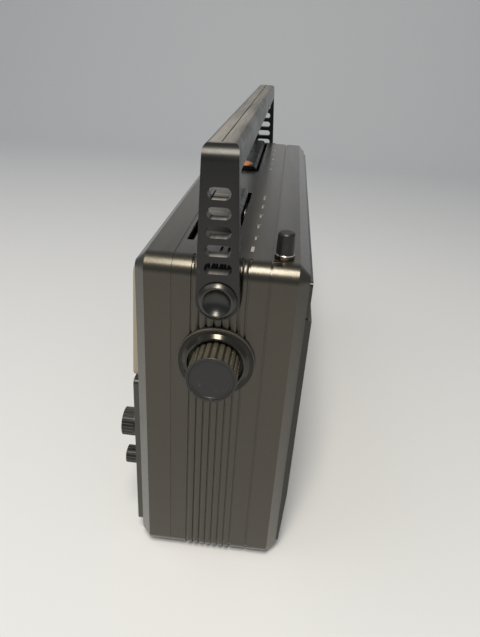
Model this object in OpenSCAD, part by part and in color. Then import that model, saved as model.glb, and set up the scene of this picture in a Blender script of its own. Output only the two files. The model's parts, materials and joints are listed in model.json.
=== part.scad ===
// Portable radio cassette recorder: a three-part case with ribbed ends, a slotted carrying handle,
// band keys and tape keys in the top, an end tuning knob, a telescopic aerial and a front cassette bay.
// X runs along the case, the front faces -Y, Z is up, and the origin is on the floor under the middle.

/* [Case] */
// Length of the case between its end faces
case_l = 350; // [315:1:385]
// Depth of the case between its front and rear faces
case_d = 85.8; // [84:0.2:90]
// Height of the case without its feet
case_h = 196; // [178:1:214]
// Thickness of the moulded walls
wall = 2.6; // [2.2:0.1:3]
// Size of the bevel round the front and rear edges
bevel = 5.6; // [4.5:0.1:6]
// Radius of the top corners of the ends
top_r = 9; // [7:0.5:12]
// Radius of the bottom corners of the ends
base_r = 6.5; // [6:0.5:8]
// Distance of the two seams from the middle of the depth
seam_y = 23.5; // [23:0.1:24.5]
// Width and depth of the shadow groove at the rear seam
seam_groove = 1.1; // [0.5:0.1:1.2]
// How far the lower plate of the back stands out
back_proud = 3.2; // [2.8:0.1:4]
// How far the upper plate of the back stands out
back_lip = 1.6; // [1.2:0.1:2]
// How far the lower plate stands out at its lower edge
back_toe = 1.4; // [1:0.1:1.8]
// Height below which the lower plate slopes in to that edge
back_toe_z = 50; // [40:1:60]
// Margin of the back's plates at the ends
back_margin = 6; // [5.5:0.5:10]
// Height of the lower edge of the lower plate
back_z = 9; // [9:0.5:12]
// Drop from the top of the case to the upper plate of the back
back_drop = 8.5; // [7.5:0.5:12]
// Drop from the top of the case to the lower plate
back_step_drop = 29; // [26:0.5:34]
// Width and depth of the groove between the two plates
back_groove = 1.4; // [1:0.1:2]
// Radius of the corners of the two plates
back_r = 2; // [1:0.5:4]
// Height of a foot
foot_h = 2.5; // [2:0.1:4]
// Radius of a foot
foot_r = 5.4; // [4:0.1:5.8]
// Distance of the feet from the ends of the case
foot_inset = 25; // [20:1:55]

/* [Ribbed ends] */
// Number of grooves in an end
rib_grooves = 8; // [4:1:10]
// Distance from groove to groove
rib_pitch = 3.86; // [3.4:0.02:4.2]
// Width of a groove
rib_groove_w = 1.3; // [0.8:0.1:1.8]
// Depth of a groove
rib_groove_depth = 1.2; // [0.6:0.1:1.4]

/* [Handle] */
// Drop from the top of the case to the handle pivots
pivot_drop = 16.3; // [15.5:0.1:22]
// Rise of the grip's top above the top of the case
handle_rise = 54.5; // [46:0.5:80]
// Lean of the resting handle towards the front, in degrees
handle_lean = 1.4; // [0:0.1:5]
// Gap between a handle arm and the end of the case
handle_gap = 1.3; // [1:0.1:2.5]
// Thickness of a handle arm
arm_t = 6.4; // [5:0.1:8]
// Radius of the round lower end of a handle arm
arm_r = 10.5; // [10:0.1:13]
// Width of the grip, front to back
grip_w = 15.8; // [14:0.1:20]
// Thickness of the grip
grip_t = 12; // [9:0.5:16]
// Radius of the upper edges of the grip
grip_r = 3.2; // [2:0.1:5]
// Radius of the outer corners of the handle
handle_corner_r = 7.5; // [4:0.5:12]
// Number of slots in a handle arm
arm_slots = 5; // [3:1:5]
// Height of the lowest slot above the handle pivot
arm_slot_z = 16; // [15:0.5:20]
// Distance from slot to slot
arm_slot_pitch = 8.6; // [7.5:0.1:9]
// Height of a slot
arm_slot_h = 5.4; // [4:0.1:6]
// Radius of the head of a pivot bolt
bolt_head_r = 9.4; // [8:0.1:10]
// Thickness of the head of a pivot bolt
bolt_head_t = 2.6; // [2:0.1:4]
// Radius of the bearing part of a pivot bolt
bolt_r = 6; // [5:0.1:6.5]

/* [Tuning] */
// Drop from the top of the case to the tuning knob
tune_drop = 54.3; // [51:0.1:60]
// Radius of the tuning bezel
bezel_r = 20; // [18:0.1:22]
// How far the flat ring of the tuning bezel stands out
bezel_t = 2.8; // [2:0.1:4]
// Width of that ring
bezel_ring = 2.6; // [2:0.1:3]
// Width of the cone inside it
bezel_cone = 2.9; // [2:0.1:3]
// Rise of that cone
bezel_cone_t = 1.8; // [1:0.1:2.5]
// Radius of the tuning knob
tune_r = 12.7; // [11:0.1:14]
// Length of the tuning knob
tune_l = 16.6; // [12:0.1:22]
// Number of flutes round the tuning knob
tune_flutes = 22; // [16:1:36]
// Radius of the tuning shaft
tune_shaft_r = 3; // [2.5:0.1:3.5]
// Radius of the cord drum
drum_r = 28; // [24:0.5:29]
// Distance of the cord drum from the right-hand end
drum_inset = 62; // [58:1:66]
// Share of the dial's length that the pointer travels
pointer_share = 0.461; // [0.4:0.001:0.465]

/* [Band keys] */
// Number of band keys
band_keys = 5; // [3:1:5]
// Distance from band key to band key
band_pitch = 20.2; // [18:0.1:20.2]
// Middle of the first band key, from the right-hand end
band_inset = 39.5; // [39:0.1:41]
// Height of a key above the top of the case
key_rise = 3.3; // [2.5:0.1:4.5]
// Height of the cap of a key
key_cap_h = 8; // [7:0.1:9]
// Front-to-back length of a key
key_l = 21.3; // [20:0.1:22]
// Y place of the front edge of the keys
key_front = -19.1; // [-19.2:0.1:-18.6]
// Gap round each row of keys
key_margin = 2.2; // [1.8:0.1:2.3]
// Travel of a band key
band_travel = 5; // [4:0.1:5]

/* [Tape keys] */
// Distance from tape key to tape key
tape_pitch = 21.9; // [20:0.1:21.9]
// Edge of the last tape key, from the left-hand end
tape_inset = 15.1; // [14:0.1:16]

/* [Cassette bay] */
// Middle of the cassette bay, from the left-hand end
bay_inset = 81; // [79:0.5:83]
// Width of the cassette bay
bay_w = 108; // [106:0.5:110]
// Height of the cassette bay
bay_h = 70; // [68:0.5:71]
// Drop from the top of the case to the floor of the bay
bay_drop = 83.5; // [82.5:0.5:84.5]
// How far the cassette door overlaps the bay all round
door_lap = 7; // [6:0.1:8]
// Width of the window in the cassette door
door_window_w = 72; // [60:1:80]
// Height of the window in the cassette door
door_window_h = 30; // [24:1:36]
// Height of the spindles above the floor of the bay
hub_rise = 35.4; // [35:0.1:36]
// Capstan, to the right of the bay's middle
capstan_dx = 21; // [20:0.5:22]
// Travel of the head bridge
bridge_travel = 3; // [2:0.1:3]
// Radius of the flywheel
flywheel_r = 21; // [18:0.5:22]
// Length of the motor
motor_l = 26; // [22:0.5:28]
// Motor, to the left of the bay's middle
motor_dx = 38; // [36:0.5:42]

/* [Front] */
// How far the front panels stand out from the front face
panel_t = 4.1; // [3.5:0.1:4.5]
// Margin of the front panels at the ends
panel_margin = 9; // [8:0.5:12]
// Height of the lower edge of the lower panel
panel_z = 10.2; // [9:0.1:14]
// Drop from the top of the case to the lower panel
panel_drop = 78.6; // [77:0.1:80]
// Gap between two front panels
panel_gap = 3.2; // [2.5:0.1:3.6]
// Radius of the corners of the front panels
panel_r = 3; // [2:0.5:5]
// Height of the dial window
dial_h = 65.2; // [62:0.1:66]
// Lean of the dial window, from its foot to its top
dial_rake = 2; // [0.5:0.1:2.5]
// Width of the frame round the dial's field
dial_rim = 6; // [5:0.5:8]
// Rows of louvres in the lower panel
louvre_rows = 11; // [8:1:11]
// Columns of louvres in the lower panel
louvre_columns = 6; // [4:1:6]
// Margin of the louvres in the lower panel
louvre_margin = 8.9; // [7:0.1:10]
// Height of a louvre
louvre_h = 3; // [2:0.1:4]
// Length of a louvre
louvre_l = 40; // [30:1:41]
// Pitch of the louvre columns
louvre_column_pitch = 44.5; // [44:0.5:46]
// Radius of the speaker frame
speaker_r = 40; // [36:0.5:41]
// Radius of the opening in front of the speaker
speaker_hole_r = 35; // [32:0.5:35.5]
// Depth of the speaker without its magnet
speaker_d = 20; // [16:0.5:21]
// Radius of the speaker magnet
magnet_r = 22; // [18:0.5:24]
// Middle of the speaker from the left-hand end
speaker_inset = 113; // [111:0.5:117]
// Front knobs from the right-hand end
knob_inset = 21.5; // [21:0.1:24]
// Drop from the lower panel's top to the volume knob
volume_drop = 39.3; // [38:0.1:41]
// Radius of the volume knob
volume_r = 8.5; // [7:0.1:11]
// Length of the volume knob
volume_l = 9; // [8:0.1:14]
// Drop from the lower panel's top to the tone knob
tone_drop = 65.5; // [64:0.1:67]
// Radius of the tone knob
tone_r = 5.5; // [5:0.1:8]
// Length of the tone knob
tone_l = 8.1; // [7:0.1:12]
// Radius of a potentiometer
pot_r = 11; // [9:0.1:12]

/* [Aerial] */
// Distance of the aerial from the right-hand end
aerial_inset = 13.7; // [13.7:0.1:15]
// Y place of the aerial
aerial_y = 29.4; // [29:0.1:30]
// Radius of the fixed aerial tube
aerial_r = 3.9; // [3.8:0.1:4.2]
// Length of the aerial inside the case
aerial_l = 138; // [120:1:150]
// Radius of the collar round the aerial
collar_r = 5; // [4.8:0.1:5.2]
// Radius of the aerial cap
aerial_cap_r = 4.5; // [4:0.1:4.8]
// Height of the aerial cap
aerial_cap_h = 11; // [9:0.5:14]

/* [Inside] */
// Length of the battery box
battery_l = 191; // [188:0.5:214]
// Height of the battery box
battery_h = 73; // [70:0.5:76]
// Depth of the battery box
battery_d = 35.4; // [35:0.1:36]
// Distance of the battery box from the right-hand end
battery_inset = 28.5; // [24:0.5:32]
// Height of the underside of the battery box
battery_z = 13; // [12:0.5:14]
// Radius of the ferrite rod
ferrite_r = 4.5; // [4:0.1:5]
// Radius of the earphone bore
phone_r = 1.8; // [1.75:0.05:1.9]
// Height of the sockets in the back
socket_z = 66; // [60:1:72]
// Distance of the mains inlet from the left-hand end
inlet_inset = 53; // [45:1:57]
// Distance of the earphone socket from the left-hand end
phone_inset = 85; // [81:1:89]
// Radius of the shank of a case screw
screw_r = 1.5; // [1.2:0.1:1.8]
// Radius of the head of a case screw
screw_head_r = 3; // [2.6:0.1:3.4]

/* [Fits] */
// Gap between a moving piece and its neighbour
play = 0.3; // [0.25:0.05:0.4]
// Gap between a fixed piece and the hole that it sits in
seat = 0.1; // [0.05:0.05:0.15]
// Gap round a shaft that turns or slides in its bore
running = 0.05; // [0.03:0.01:0.08]

/* [Hidden] */
$fn = 64;
// Small overlap that joins two solids, and how far a cut reaches past a face
eps = 0.01;
over = 1;

seam_line = 0.3;
grip_groove = 0.7;
bolt_thread_r = 3;
bolt_boss_l = 6.4;
tune_disc_t = 1.1;
cord_d = 0.8;
stud_r = 4;
drum_t = 5;
stem_w = 8;
stem_t = 5;
tape_shaft_r = 1.5;
tape_shaft_back = 13.8;
tape_shaft_drop = 10;
tape_eye_r = 4;
bay_wall = 1.6;
door_pin_r = 1;
door_pin_l = 3;
guide_d = 11;
capstan_r = 1.25;
capstan_drop = 22;
deck_t = 1.4;
bridge_t = 1.2;
belt_t = 1.2;
scale_t = 1;
contact_t = 0.6;
board_t = 1.6;
phone_depth = 14;
battery_wall = 1.6;
aerial_wall = 0.5;
hub_reach = 8.5;
motor_pulley_r = 4.5;
flywheel_t = 7;
collar_h = 1.8;
battery_ledge = 4;
door_window_t = 1.8;
pot_d = 10;
hub_r = 4.6;
handle_inner_r = 4;
key_gap = 0.6;
key_bevel = 2;
transformer_h = 38;
transformer_w = 46;
board_y = -10;
motor_r = 15;
magnet_t = 13;
spindle_r = 3;
arm_slot_rail = 3.5;

base_z = foot_h;
top_z = foot_h + case_h;
end_x = case_l / 2;
front_y = -case_d / 2;
back_y = case_d / 2;
inner_front_y = front_y + wall;
inner_back_y = back_y - wall;
inner_top_z = top_z - wall;
inner_base_z = base_z + wall;
inner_end_x = end_x - wall;
panel_y = front_y - panel_t;
rear_y = back_y + back_proud;
lip_y = back_y + back_lip;
back_top = top_z - back_drop;
back_step_z = top_z - back_step_drop;
back_w = case_l - 2 * back_margin;
foot_x = end_x - foot_inset;
foot_y = (seam_y + seam_groove + back_y - bevel) / 2;
inner_bevel = min(bevel - wall * (2 - sqrt(2)), base_r - wall - seat);
ease = 0.6;

pivot_z = top_z - pivot_drop;
handle_top_z = top_z + handle_rise;
arm_x = end_x + handle_gap;
arm_out_x = arm_x + arm_t;
arm_h = handle_top_z - pivot_z;
arm_lean = asin((arm_r - grip_w / 2) / arm_h);
pad_r = arm_r - 1;
pivot_boss_r = arm_r - 3;
dish_d = 1.3;
rim_w = 1.2;

tune_z = top_z - tune_drop;
bezel_floor = 0.9;
bezel_edge = 1;
bezel_plug_r = bezel_r - 4;
bearing_l = 7;
bearing_wall = 3;
tune_gap = 1.6;
tune_x = end_x + tune_gap;
tune_rim = 1.5;
grip_share = 0.6;
pulley_t = 6;
pulley_rim = 3;
pulley_groove = 1.6;
flute_share = 0.55;
flute_out = 0.35;

key_back = key_front + key_l;
recess_front = key_front - key_margin;
recess_back = key_back + key_margin;
key_top_z = top_z + key_rise;
band_w = band_pitch - key_gap;
band_x0 = end_x - band_inset;
band_lo_x = band_x0 - (band_keys - 1) * band_pitch - band_w / 2 - key_margin;
band_hi_x = band_x0 + band_w / 2 + key_margin;
tape_keys = 6;
tape_w = tape_pitch - key_gap;
tape_x0 = -end_x + tape_inset + (tape_keys - 0.5) * tape_pitch;
tape_hi_x = -end_x + tape_inset + tape_keys * tape_pitch + key_margin;
tape_lo_x = -end_x + tape_inset - key_margin;
tape_shaft_y = key_back + tape_shaft_back;
tape_shaft_z = top_z - tape_shaft_drop;
lug_t = 1.5;
lug_off = 0.5;
lug_edge = 5;
lever_in = 6;
lever_top = inner_top_z - 2.6;
lever_low = tape_shaft_z - tape_eye_r + 0.4;
key_ease = 0.8;

switch_top_z = top_z + key_rise - key_cap_h - band_travel - 2 * play - over;
switch_h = 17;
switch_wall = 3;
switch_post = 2.5;
stem_y = (key_front + key_back) / 2;
stem_l = 22;

bay_x = -end_x + bay_inset;
bay_z = top_z - bay_drop;
bay_mid_z = bay_z + bay_h / 2;
door_rise = 3;
door_w = bay_w + 2 * door_lap;
door_h = bay_h + door_lap;
door_lo_z = bay_z - door_lap + door_rise;
door_t = panel_t - play;
door_edge_r = door_t / 2;
door_hinge_y = panel_y + door_edge_r;
door_hinge_z = door_lo_z + door_edge_r;
door_edge = 1;
window_lap = 2;
window_r = 3;
guide_t = 2;
guide_in = 3;
guide_lo = 16;
guide_hi = 8;
lug_w = 4;
lug_x = (door_w + lug_w) / 2 + play;
lug_h = door_t + 4;
well_back_y = -seam_y - deck_t;
deck_y = well_back_y;
hub_z = bay_z + hub_rise;
hub_spacing = 42.5;
capstan_x = bay_x + capstan_dx;
capstan_z = hub_z - capstan_drop;
flywheel_y = -seam_y + 3;
belt_y = flywheel_y + flywheel_t / 2;
belt_w = 3;
motor_x = bay_x - motor_dx;
motor_y = flywheel_y + flywheel_t + 2;
motor_shaft_r = 1;
motor_shaft_l = 8;
motor_end_r = 5;
motor_end_t = 2;
motor_post_r = 2.5;
motor_post_dz = motor_r - 3;
hub_flange_t = 1.5;
hub_flange_w = 3;
hub_waist = 1.2;
hub_tip_l = 2.4;
hub_tip_r = 1.4;
hub_spline_w = 1.4;
hub_stub_r = 2;
bearing_t = 2.5;
deck_margin = 6;
deck_drop = 8;
deck_step = 9;
deck_band = 12;
deck_rise = 4;
lug_drop = 6;
wheel_rim = 5;
wheel_web = 2.5;
bridge_y = deck_y - play - bridge_t;
bridge_w = 84;
bridge_h = 11;
bridge_notch = 2;
bridge_z = bay_z + 0.6;
head_l = 8;
head_w = 12;
head_lift = 2;
head_top = 0.5;
erase_w = 8;
pin_r = 1.2;
pin_dx = 30;
pinch_r = 4;
pinch_axle_r = 1.5;
pinch_z = capstan_z - capstan_r - pinch_r - bridge_travel - play;
hub_bearing_l = flywheel_y - deck_y - 2 * play;

panel_top = top_z - panel_drop;
step_x = bay_x + door_w / 2 + lug_w + panel_gap;
dial_lo_z = panel_top + panel_gap;
dial_hi_z = dial_lo_z + dial_h;
dial_hi_x = end_x - panel_margin;
dial_lo_x = step_x + over;
dial_mid_z = (dial_lo_z + dial_hi_z) / 2;
scale_y = inner_front_y;
drum_x = end_x - drum_inset;
drum_drop = 12;
drum_gap = 6;
drum_z = dial_mid_z - drum_drop;
drum_y = scale_y + scale_t + drum_gap;
drum_shaft_r = 3;
drum_shaft_gap = 4;
drum_shaft_l = board_y - drum_y - drum_shaft_gap;
drum_hole_r = 6;
drum_hole_at = 15;
capacitor_w = 30;
capacitor_h = 28;
capacitor_gap = 1;
cord_y = drum_y + drum_t / 2;
stud_x = dial_lo_x + dial_rim + stud_r + 2;
stud_z = drum_z + drum_r - stud_r;
cord_z = drum_z + drum_r - cord_d / 2;
pointer_travel = pointer_share * (dial_hi_x - dial_lo_x);
pointer_gap = 4;
pointer_lo_z = dial_lo_z + dial_rim + pointer_gap;
pointer_w = 1.4;
pointer_t = 1;
pointer_clip_w = 6;
pointer_clip_h = cord_d + 2 * play + 2;
pointer_x = drum_x - drum_r / 2;
pointer_slot_h = pointer_clip_h + 4 * play;

panel_lo_x = -end_x + panel_margin;
panel_hi_x = end_x - panel_margin;
panel_step_z = door_lo_z - panel_gap;
louvre_edge = 6;
louvre_x0 = panel_lo_x + louvre_edge + louvre_l / 2;
louvre_z0 = panel_z + louvre_margin;
louvre_pitch = (panel_step_z - panel_z - 2 * louvre_margin) / (louvre_rows - 1);
knob_x = end_x - knob_inset;
knob_y = panel_y - 2 * play;
knob_skirt = 2;
knob_face_t = 0.6;
knob_face_rim = 2.2;
volume_z = panel_top - volume_drop;
volume_flutes = 26;
tone_z = panel_top - tone_drop;
tone_flutes = 18;
pot_floor = 3;
speaker_x = -end_x + speaker_inset;
speaker_z = (inner_base_z + bay_z - bay_wall) / 2;
speaker_lip = 0.6;
basket_t = 3;
basket_wall = 2;
basket_slot_w = 14;
basket_slot_y = 5;
speaker_slots = 6;
cone_edge_w = 5;
cone_t = 1;
cone_neck_r = 9;
cone_depth = speaker_d - 5;
dust_cap_r = 5;
dust_cap_t = 3.5;

aerial_x = end_x - aerial_inset;
aerial_lo_z = top_z - aerial_l;
section_r = aerial_r - aerial_wall - running;
rod_r = section_r - aerial_wall - running;
cap_z = top_z + collar_h + play;
cap_edge = 0.8;
cap_taper = 0.3;
tube_floor = 1;
clip_r = aerial_r + 2.5;
notch_l = 5;
notch_d = 1.2;

battery_x = end_x - battery_inset - battery_l / 2;
battery_y = inner_back_y - battery_d;
battery_in_l = battery_l - 2 * battery_wall;
battery_in_h = battery_h - 2 * battery_wall;
door_stop = 1;
door_open_l = battery_in_l - 2 * door_stop;
door_open_h = battery_in_h - 2 * door_stop;
battery_mid_z = battery_z + battery_h / 2;
cover_l = door_open_l + 2 * battery_ledge;
cover_h = door_open_h + 2 * battery_ledge - door_stop;
cover_r = 2;
cover_grooves = 7;
cover_groove_w = 1;
cover_groove_l = 28;
cover_groove_pitch = 2;
cover_groove_d = 0.8;
cover_groove_drop = 4;
cell_mid = 16.5;
contact_w = 22;
contact_boss_r = 4;
contact_boss_t = 0.8;
screw_boss_r = 3.8;
screw_inset = 5;
screw_boss_l = 12;
screw_head_t = 2;
screw_sink = 1;
screw_tip = 2;
screw_slot_w = 0.8;
screw_slot_l = 1.2 * screw_head_r;
screw_head_y = lip_y - screw_sink - screw_head_t;
screw_y = seam_y - screw_boss_l;
screw_gap = 11;
screw_places = [
    [tape_hi_x + screw_gap, back_top - screw_inset],
    [end_x - 2 * aerial_inset, back_top - screw_inset],
    [-end_x + back_margin + screw_inset, back_z + screw_inset],
    [end_x - back_margin - screw_inset, back_z + screw_inset]];
ferrite_gap = 6;
ferrite_lo_x = screw_places[0][0] + screw_boss_r + ferrite_gap;
ferrite_l = screw_places[1][0] - screw_boss_r - ferrite_gap - ferrite_lo_x;
ferrite_back = 9;
ferrite_drop = 12;
ferrite_y = recess_back + ferrite_back;
ferrite_z = inner_top_z - ferrite_drop;
coil_l = 18;
coil_t = 1;
cradle_t = 5;
cradle_r = ferrite_r + 2;
cradle_in = 14;
top_groove_gap = 6;
top_groove_l = end_x - top_r - band_hi_x - top_groove_gap;
tube_clip_h = 8;
inlet_x = -end_x + inlet_inset;
phone_x = -end_x + phone_inset;
socket_y = rear_y - 0.4;
inlet_w = 22;
inlet_h = 16;
inlet_d = 18;
inlet_well_w = 16;
inlet_well_h = 9.5;
inlet_well_d = 14;
inlet_pin_l = 7;
inlet_pin_r = 1.1;
inlet_pin_dx = 4;
phone_body_r = 5;
winding_in = 14;
winding_gap = 2;
winding_y = seam_y - winding_in;
winding_back_y = inner_back_y - winding_gap;
winding_out = 5;
core_limb = 7;
board_margin = 26;
board_gap = 8;
board_lo_x = dial_lo_x + board_margin;
board_hi_x = end_x - board_margin;
board_lo_z = battery_z + battery_h + board_gap;
board_hi_z = switch_top_z - switch_h - board_gap + 3;
board_post_r = 3;
board_post_in = 6;
board_post_gap = 2;
can_w = 8;
can_t = 11;
can_in = 14;
can_drop = 12;
can_pitch = 18;
smoother_r = 5;
smoother_t = 14;
smoother_in = 20;
smoother_lift = 16;
smoother_pitch = 24;

// Extrudes an outline drawn in Y and Z along X
module along_x(x, l) {
    translate([x, 0, 0])
        rotate([90, 0, 90])
            linear_extrude(l)
                children();
}

// Extrudes an outline drawn in X and Z along Y
module along_y(y, l) {
    translate([0, y + l, 0])
        rotate([90, 0, 0])
            linear_extrude(l)
                children();
}

// Round bar along X through a place in Y and Z
module bar_x(x, l, r, y, z) {
    translate([x, y, z])
        rotate([0, 90, 0])
            cylinder(h = l, r = r);
}

// Round bar along Y through a place in X and Z
module bar_y(y, l, r, x, z) {
    translate([x, y, z])
        rotate([-90, 0, 0])
            cylinder(h = l, r = r);
}

// Turns a profile of radius and length about a line along X, outwards from x
module turned_x(x, y, z) {
    translate([x, y, z])
        rotate([0, 90, 0])
            rotate_extrude()
                children();
}

// Turns a profile of radius and length about a line along Y, backwards from y
module turned_y(x, y, z) {
    translate([x, y, z])
        rotate([-90, 0, 0])
            rotate_extrude()
                children();
}

// Box given by its low and high corners
module block(lo, hi) {
    translate(lo)
        cube(hi - lo);
}

// Rectangle with round corners, about its middle
module round_rect(w, h, r) {
    square([w - 2 * r, h], center = true);
    square([w, h - 2 * r], center = true);
    for (sx = [-1, 1], sz = [-1, 1])
        translate([sx * (w / 2 - r), sz * (h / 2 - r)])
            circle(r);
}

// Same, placed by its low and high corners
module round_field(x0, z0, x1, z1, r) {
    translate([(x0 + x1) / 2, (z0 + z1) / 2])
        round_rect(x1 - x0, z1 - z0, r);
}

// Half the profile of a bevelled edge, from the middle of a corner to its rim
module corner_profile(r, d, c) {
    polygon([[0, -d / 2], [r - c, -d / 2], [r, -d / 2 + c], [r, d / 2 - c], [r - c, d / 2], [0, d / 2]]);
}

// One quarter-turn corner of the case outline
module case_corner(x, z, r, d, c) {
    translate([x, 0, z])
        rotate([-90, 0, 0])
            rotate_extrude()
                corner_profile(r, d, c);
}

// Case outline as a solid: rounded ends, with a bevel round its front and rear edges
module bevel_block(l, d, lo_z, hi_z, hi_r, lo_r, c) {
    mid_z = (lo_z + hi_z) / 2;
    x = l / 2;
    y = d / 2;
    along_x(-(x - hi_r), 2 * (x - hi_r))
        polygon([[-y, mid_z], [y, mid_z], [y, hi_z - c], [y - c, hi_z], [-y + c, hi_z], [-y, hi_z - c]]);
    along_x(-(x - lo_r), 2 * (x - lo_r))
        polygon([[-y, mid_z], [-y, lo_z + c], [-y + c, lo_z], [y - c, lo_z], [y, lo_z + c], [y, mid_z]]);
    translate([0, 0, lo_z + lo_r])
        linear_extrude(hi_z - hi_r - lo_z - lo_r)
            polygon([[-x, -y + c], [-x + c, -y], [x - c, -y], [x, -y + c], [x, y - c], [x - c, y],
                [-x + c, y], [-x, y - c]]);
    for (s = [-1, 1]) {
        case_corner(s * (x - hi_r), hi_z - hi_r, hi_r, d, c);
        case_corner(s * (x - lo_r), lo_z + lo_r, lo_r, d, c);
    }
}

// Outline of the case, in X and Z, drawn in by a margin
module case_outline(inset) {
    x = end_x - inset;
    lo_z = base_z + inset;
    hi_z = top_z - inset;
    hi_r = top_r - inset;
    lo_r = base_r - inset;
    translate([-x, lo_z + lo_r])
        square([2 * x, hi_z - hi_r - lo_z - lo_r]);
    translate([-x + hi_r, lo_z + lo_r])
        square([2 * (x - hi_r), hi_z - lo_z - lo_r]);
    translate([-x + lo_r, lo_z])
        square([2 * (x - lo_r), hi_z - hi_r - lo_z]);
    for (s = [-1, 1]) {
        translate([s * (x - hi_r), hi_z - hi_r])
            circle(hi_r);
        translate([s * (x - lo_r), lo_z + lo_r])
            circle(lo_r);
    }
}

// Slice of the hollow case between two places in Y
module case_slice(y0, y1) {
    x = end_x + over;
    intersection() {
        difference() {
            bevel_block(case_l, case_d, base_z, top_z, top_r, base_r, bevel);
            bevel_block(case_l - 2 * wall, case_d - 2 * wall, inner_base_z, inner_top_z,
                top_r - wall, base_r - wall, inner_bevel);
        }
        block([-x, y0, 0], [x, y1, top_z + over]);
    }
}

// Shallow groove round the case between two places in X
module ring_groove(y, w, depth, x0, x1) {
    along_y(y, w)
        difference() {
            translate([x0, base_z - over])
                square([x1 - x0, case_h + 2 * over]);
            case_outline(depth);
        }
}

// Groove round the whole case, used along a seam
module seam_cut(y, size) {
    ring_groove(y, size, size, -end_x - over, end_x + over);
}

// Front shell: the bevelled front with its openings, the cassette well and the board's posts
module front_shell() {
    color("#55503f")
        difference() {
            union() {
                case_slice(front_y - over, -seam_y);
                along_y(inner_front_y - eps, well_back_y - inner_front_y + eps)
                    translate([bay_x, bay_mid_z])
                        square([bay_w + 2 * bay_wall, bay_h + 2 * bay_wall], center = true);
                for (s = [-1, 1])
                    translate([bay_x + s * lug_x, 0, door_lo_z])
                        block([-lug_w / 2, panel_y, 0], [lug_w / 2, front_y + eps, lug_h]);
                for (x = [board_lo_x + board_post_in, knob_x - pot_r - board_post_r - board_post_gap])
                    bar_y(inner_front_y - eps, board_y - inner_front_y + eps, board_post_r, x,
                        board_lo_z + board_post_in);
            }
            along_y(front_y - over, case_d / 2)
                translate([bay_x, bay_mid_z])
                    square([bay_w, bay_h], center = true);
            bar_x(bay_x - door_w / 2 - door_pin_l - play, door_w + 2 * door_pin_l + 2 * play,
                door_pin_r + running, door_hinge_y, door_hinge_z);
            along_y(front_y - over, wall + 2 * over)
                round_field(dial_lo_x + dial_rim, dial_lo_z + dial_rim, dial_hi_x - dial_rim,
                    dial_hi_z - dial_rim, panel_r);
            bar_y(front_y - over, wall + 2 * over, speaker_hole_r, speaker_x, speaker_z);
            for (z = [volume_z, tone_z])
                bar_y(front_y - over, wall + 2 * over, spindle_r + play, knob_x, z);
            seam_cut(-seam_y - seam_line, seam_line);
        }
}

// Centre frame: the ring with the ribbed ends, the key openings and the pivot bosses
module centre_frame() {
    color("#4d4a3c")
        difference() {
            union() {
                case_slice(-seam_y, seam_y);
                for (s = [0, 1])
                    mirror([s, 0, 0]) {
                        bar_x(inner_end_x - bolt_boss_l, bolt_boss_l + eps, pivot_boss_r, 0, pivot_z);
                        bar_x(end_x - rib_groove_depth, rib_groove_depth + handle_gap - play, pad_r, 0,
                            pivot_z);
                    }
                for (p = screw_places)
                    screw_boss(p, screw_y, screw_boss_l);
                for (x = [ferrite_lo_x + cradle_in, ferrite_lo_x + ferrite_l - cradle_in - cradle_t])
                    block([x, ferrite_y - cradle_r, ferrite_z - cradle_r],
                        [x + cradle_t, ferrite_y + cradle_r, inner_top_z + eps]);
            }
            for (s = [0, 1], i = [0:rib_grooves - 1])
                mirror([s, 0, 0])
                    rib_groove((i - (rib_grooves - 1) / 2) * rib_pitch);
            block([band_lo_x, recess_front, inner_top_z - over], [band_hi_x, recess_back, top_z + over]);
            block([tape_lo_x, recess_front, inner_top_z - over], [tape_hi_x, recess_back, top_z + over]);
            for (s = [0, 1])
                mirror([s, 0, 0])
                    bar_x(inner_end_x - bolt_boss_l - over, bolt_boss_l + wall + handle_gap + over,
                        bolt_thread_r + seat, 0, pivot_z);
            bar_x(inner_end_x - over, wall + 2 * over, bezel_plug_r + seat, 0, tune_z);
            for (p = screw_places)
                bar_y(screw_y - over, screw_boss_l + 2 * over, screw_r + seat, p[0], p[1]);
            bar_x(ferrite_lo_x, ferrite_l, ferrite_r + seat, ferrite_y, ferrite_z);
            for (s = [-1, 1])
                translate([end_x - top_r, s * rib_pitch / 2, top_z])
                    block([-top_groove_l, -rib_groove_w / 2, -rib_groove_depth],
                        [eps, rib_groove_w / 2, over]);
        }
}

// One groove of the right-hand ribbed end, from the floor edge over the top corner
module rib_groove(y) {
    difference() {
        ring_groove(y - rib_groove_w / 2, rib_groove_w, rib_groove_depth, end_x - top_r,
            arm_x + over);
        bar_x(inner_end_x, wall + handle_gap + over, pad_r, 0, pivot_z);
    }
}

// Boss or post round a case screw, joined to the nearest wall
module screw_boss(place, y, l) {
    up = place[1] > (base_z + top_z) / 2;
    bar_y(y, l, screw_boss_r, place[0], place[1]);
    block([place[0] - screw_boss_r, y, up ? place[1] : base_z + wall / 2],
        [place[0] + screw_boss_r, y + l, up ? top_z - wall / 2 : place[1]]);
}

// Side view of the two plates of the back, with the groove between them
module back_profile() {
    groove_y = lip_y - back_groove;
    polygon([[back_y - eps, back_z], [back_y + back_toe, back_z], [rear_y, back_toe_z],
        [rear_y, back_step_z], [groove_y, back_step_z], [groove_y, back_step_z + back_groove],
        [lip_y, back_step_z + back_groove], [lip_y, back_top], [back_y - eps, back_top]]);
}

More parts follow.
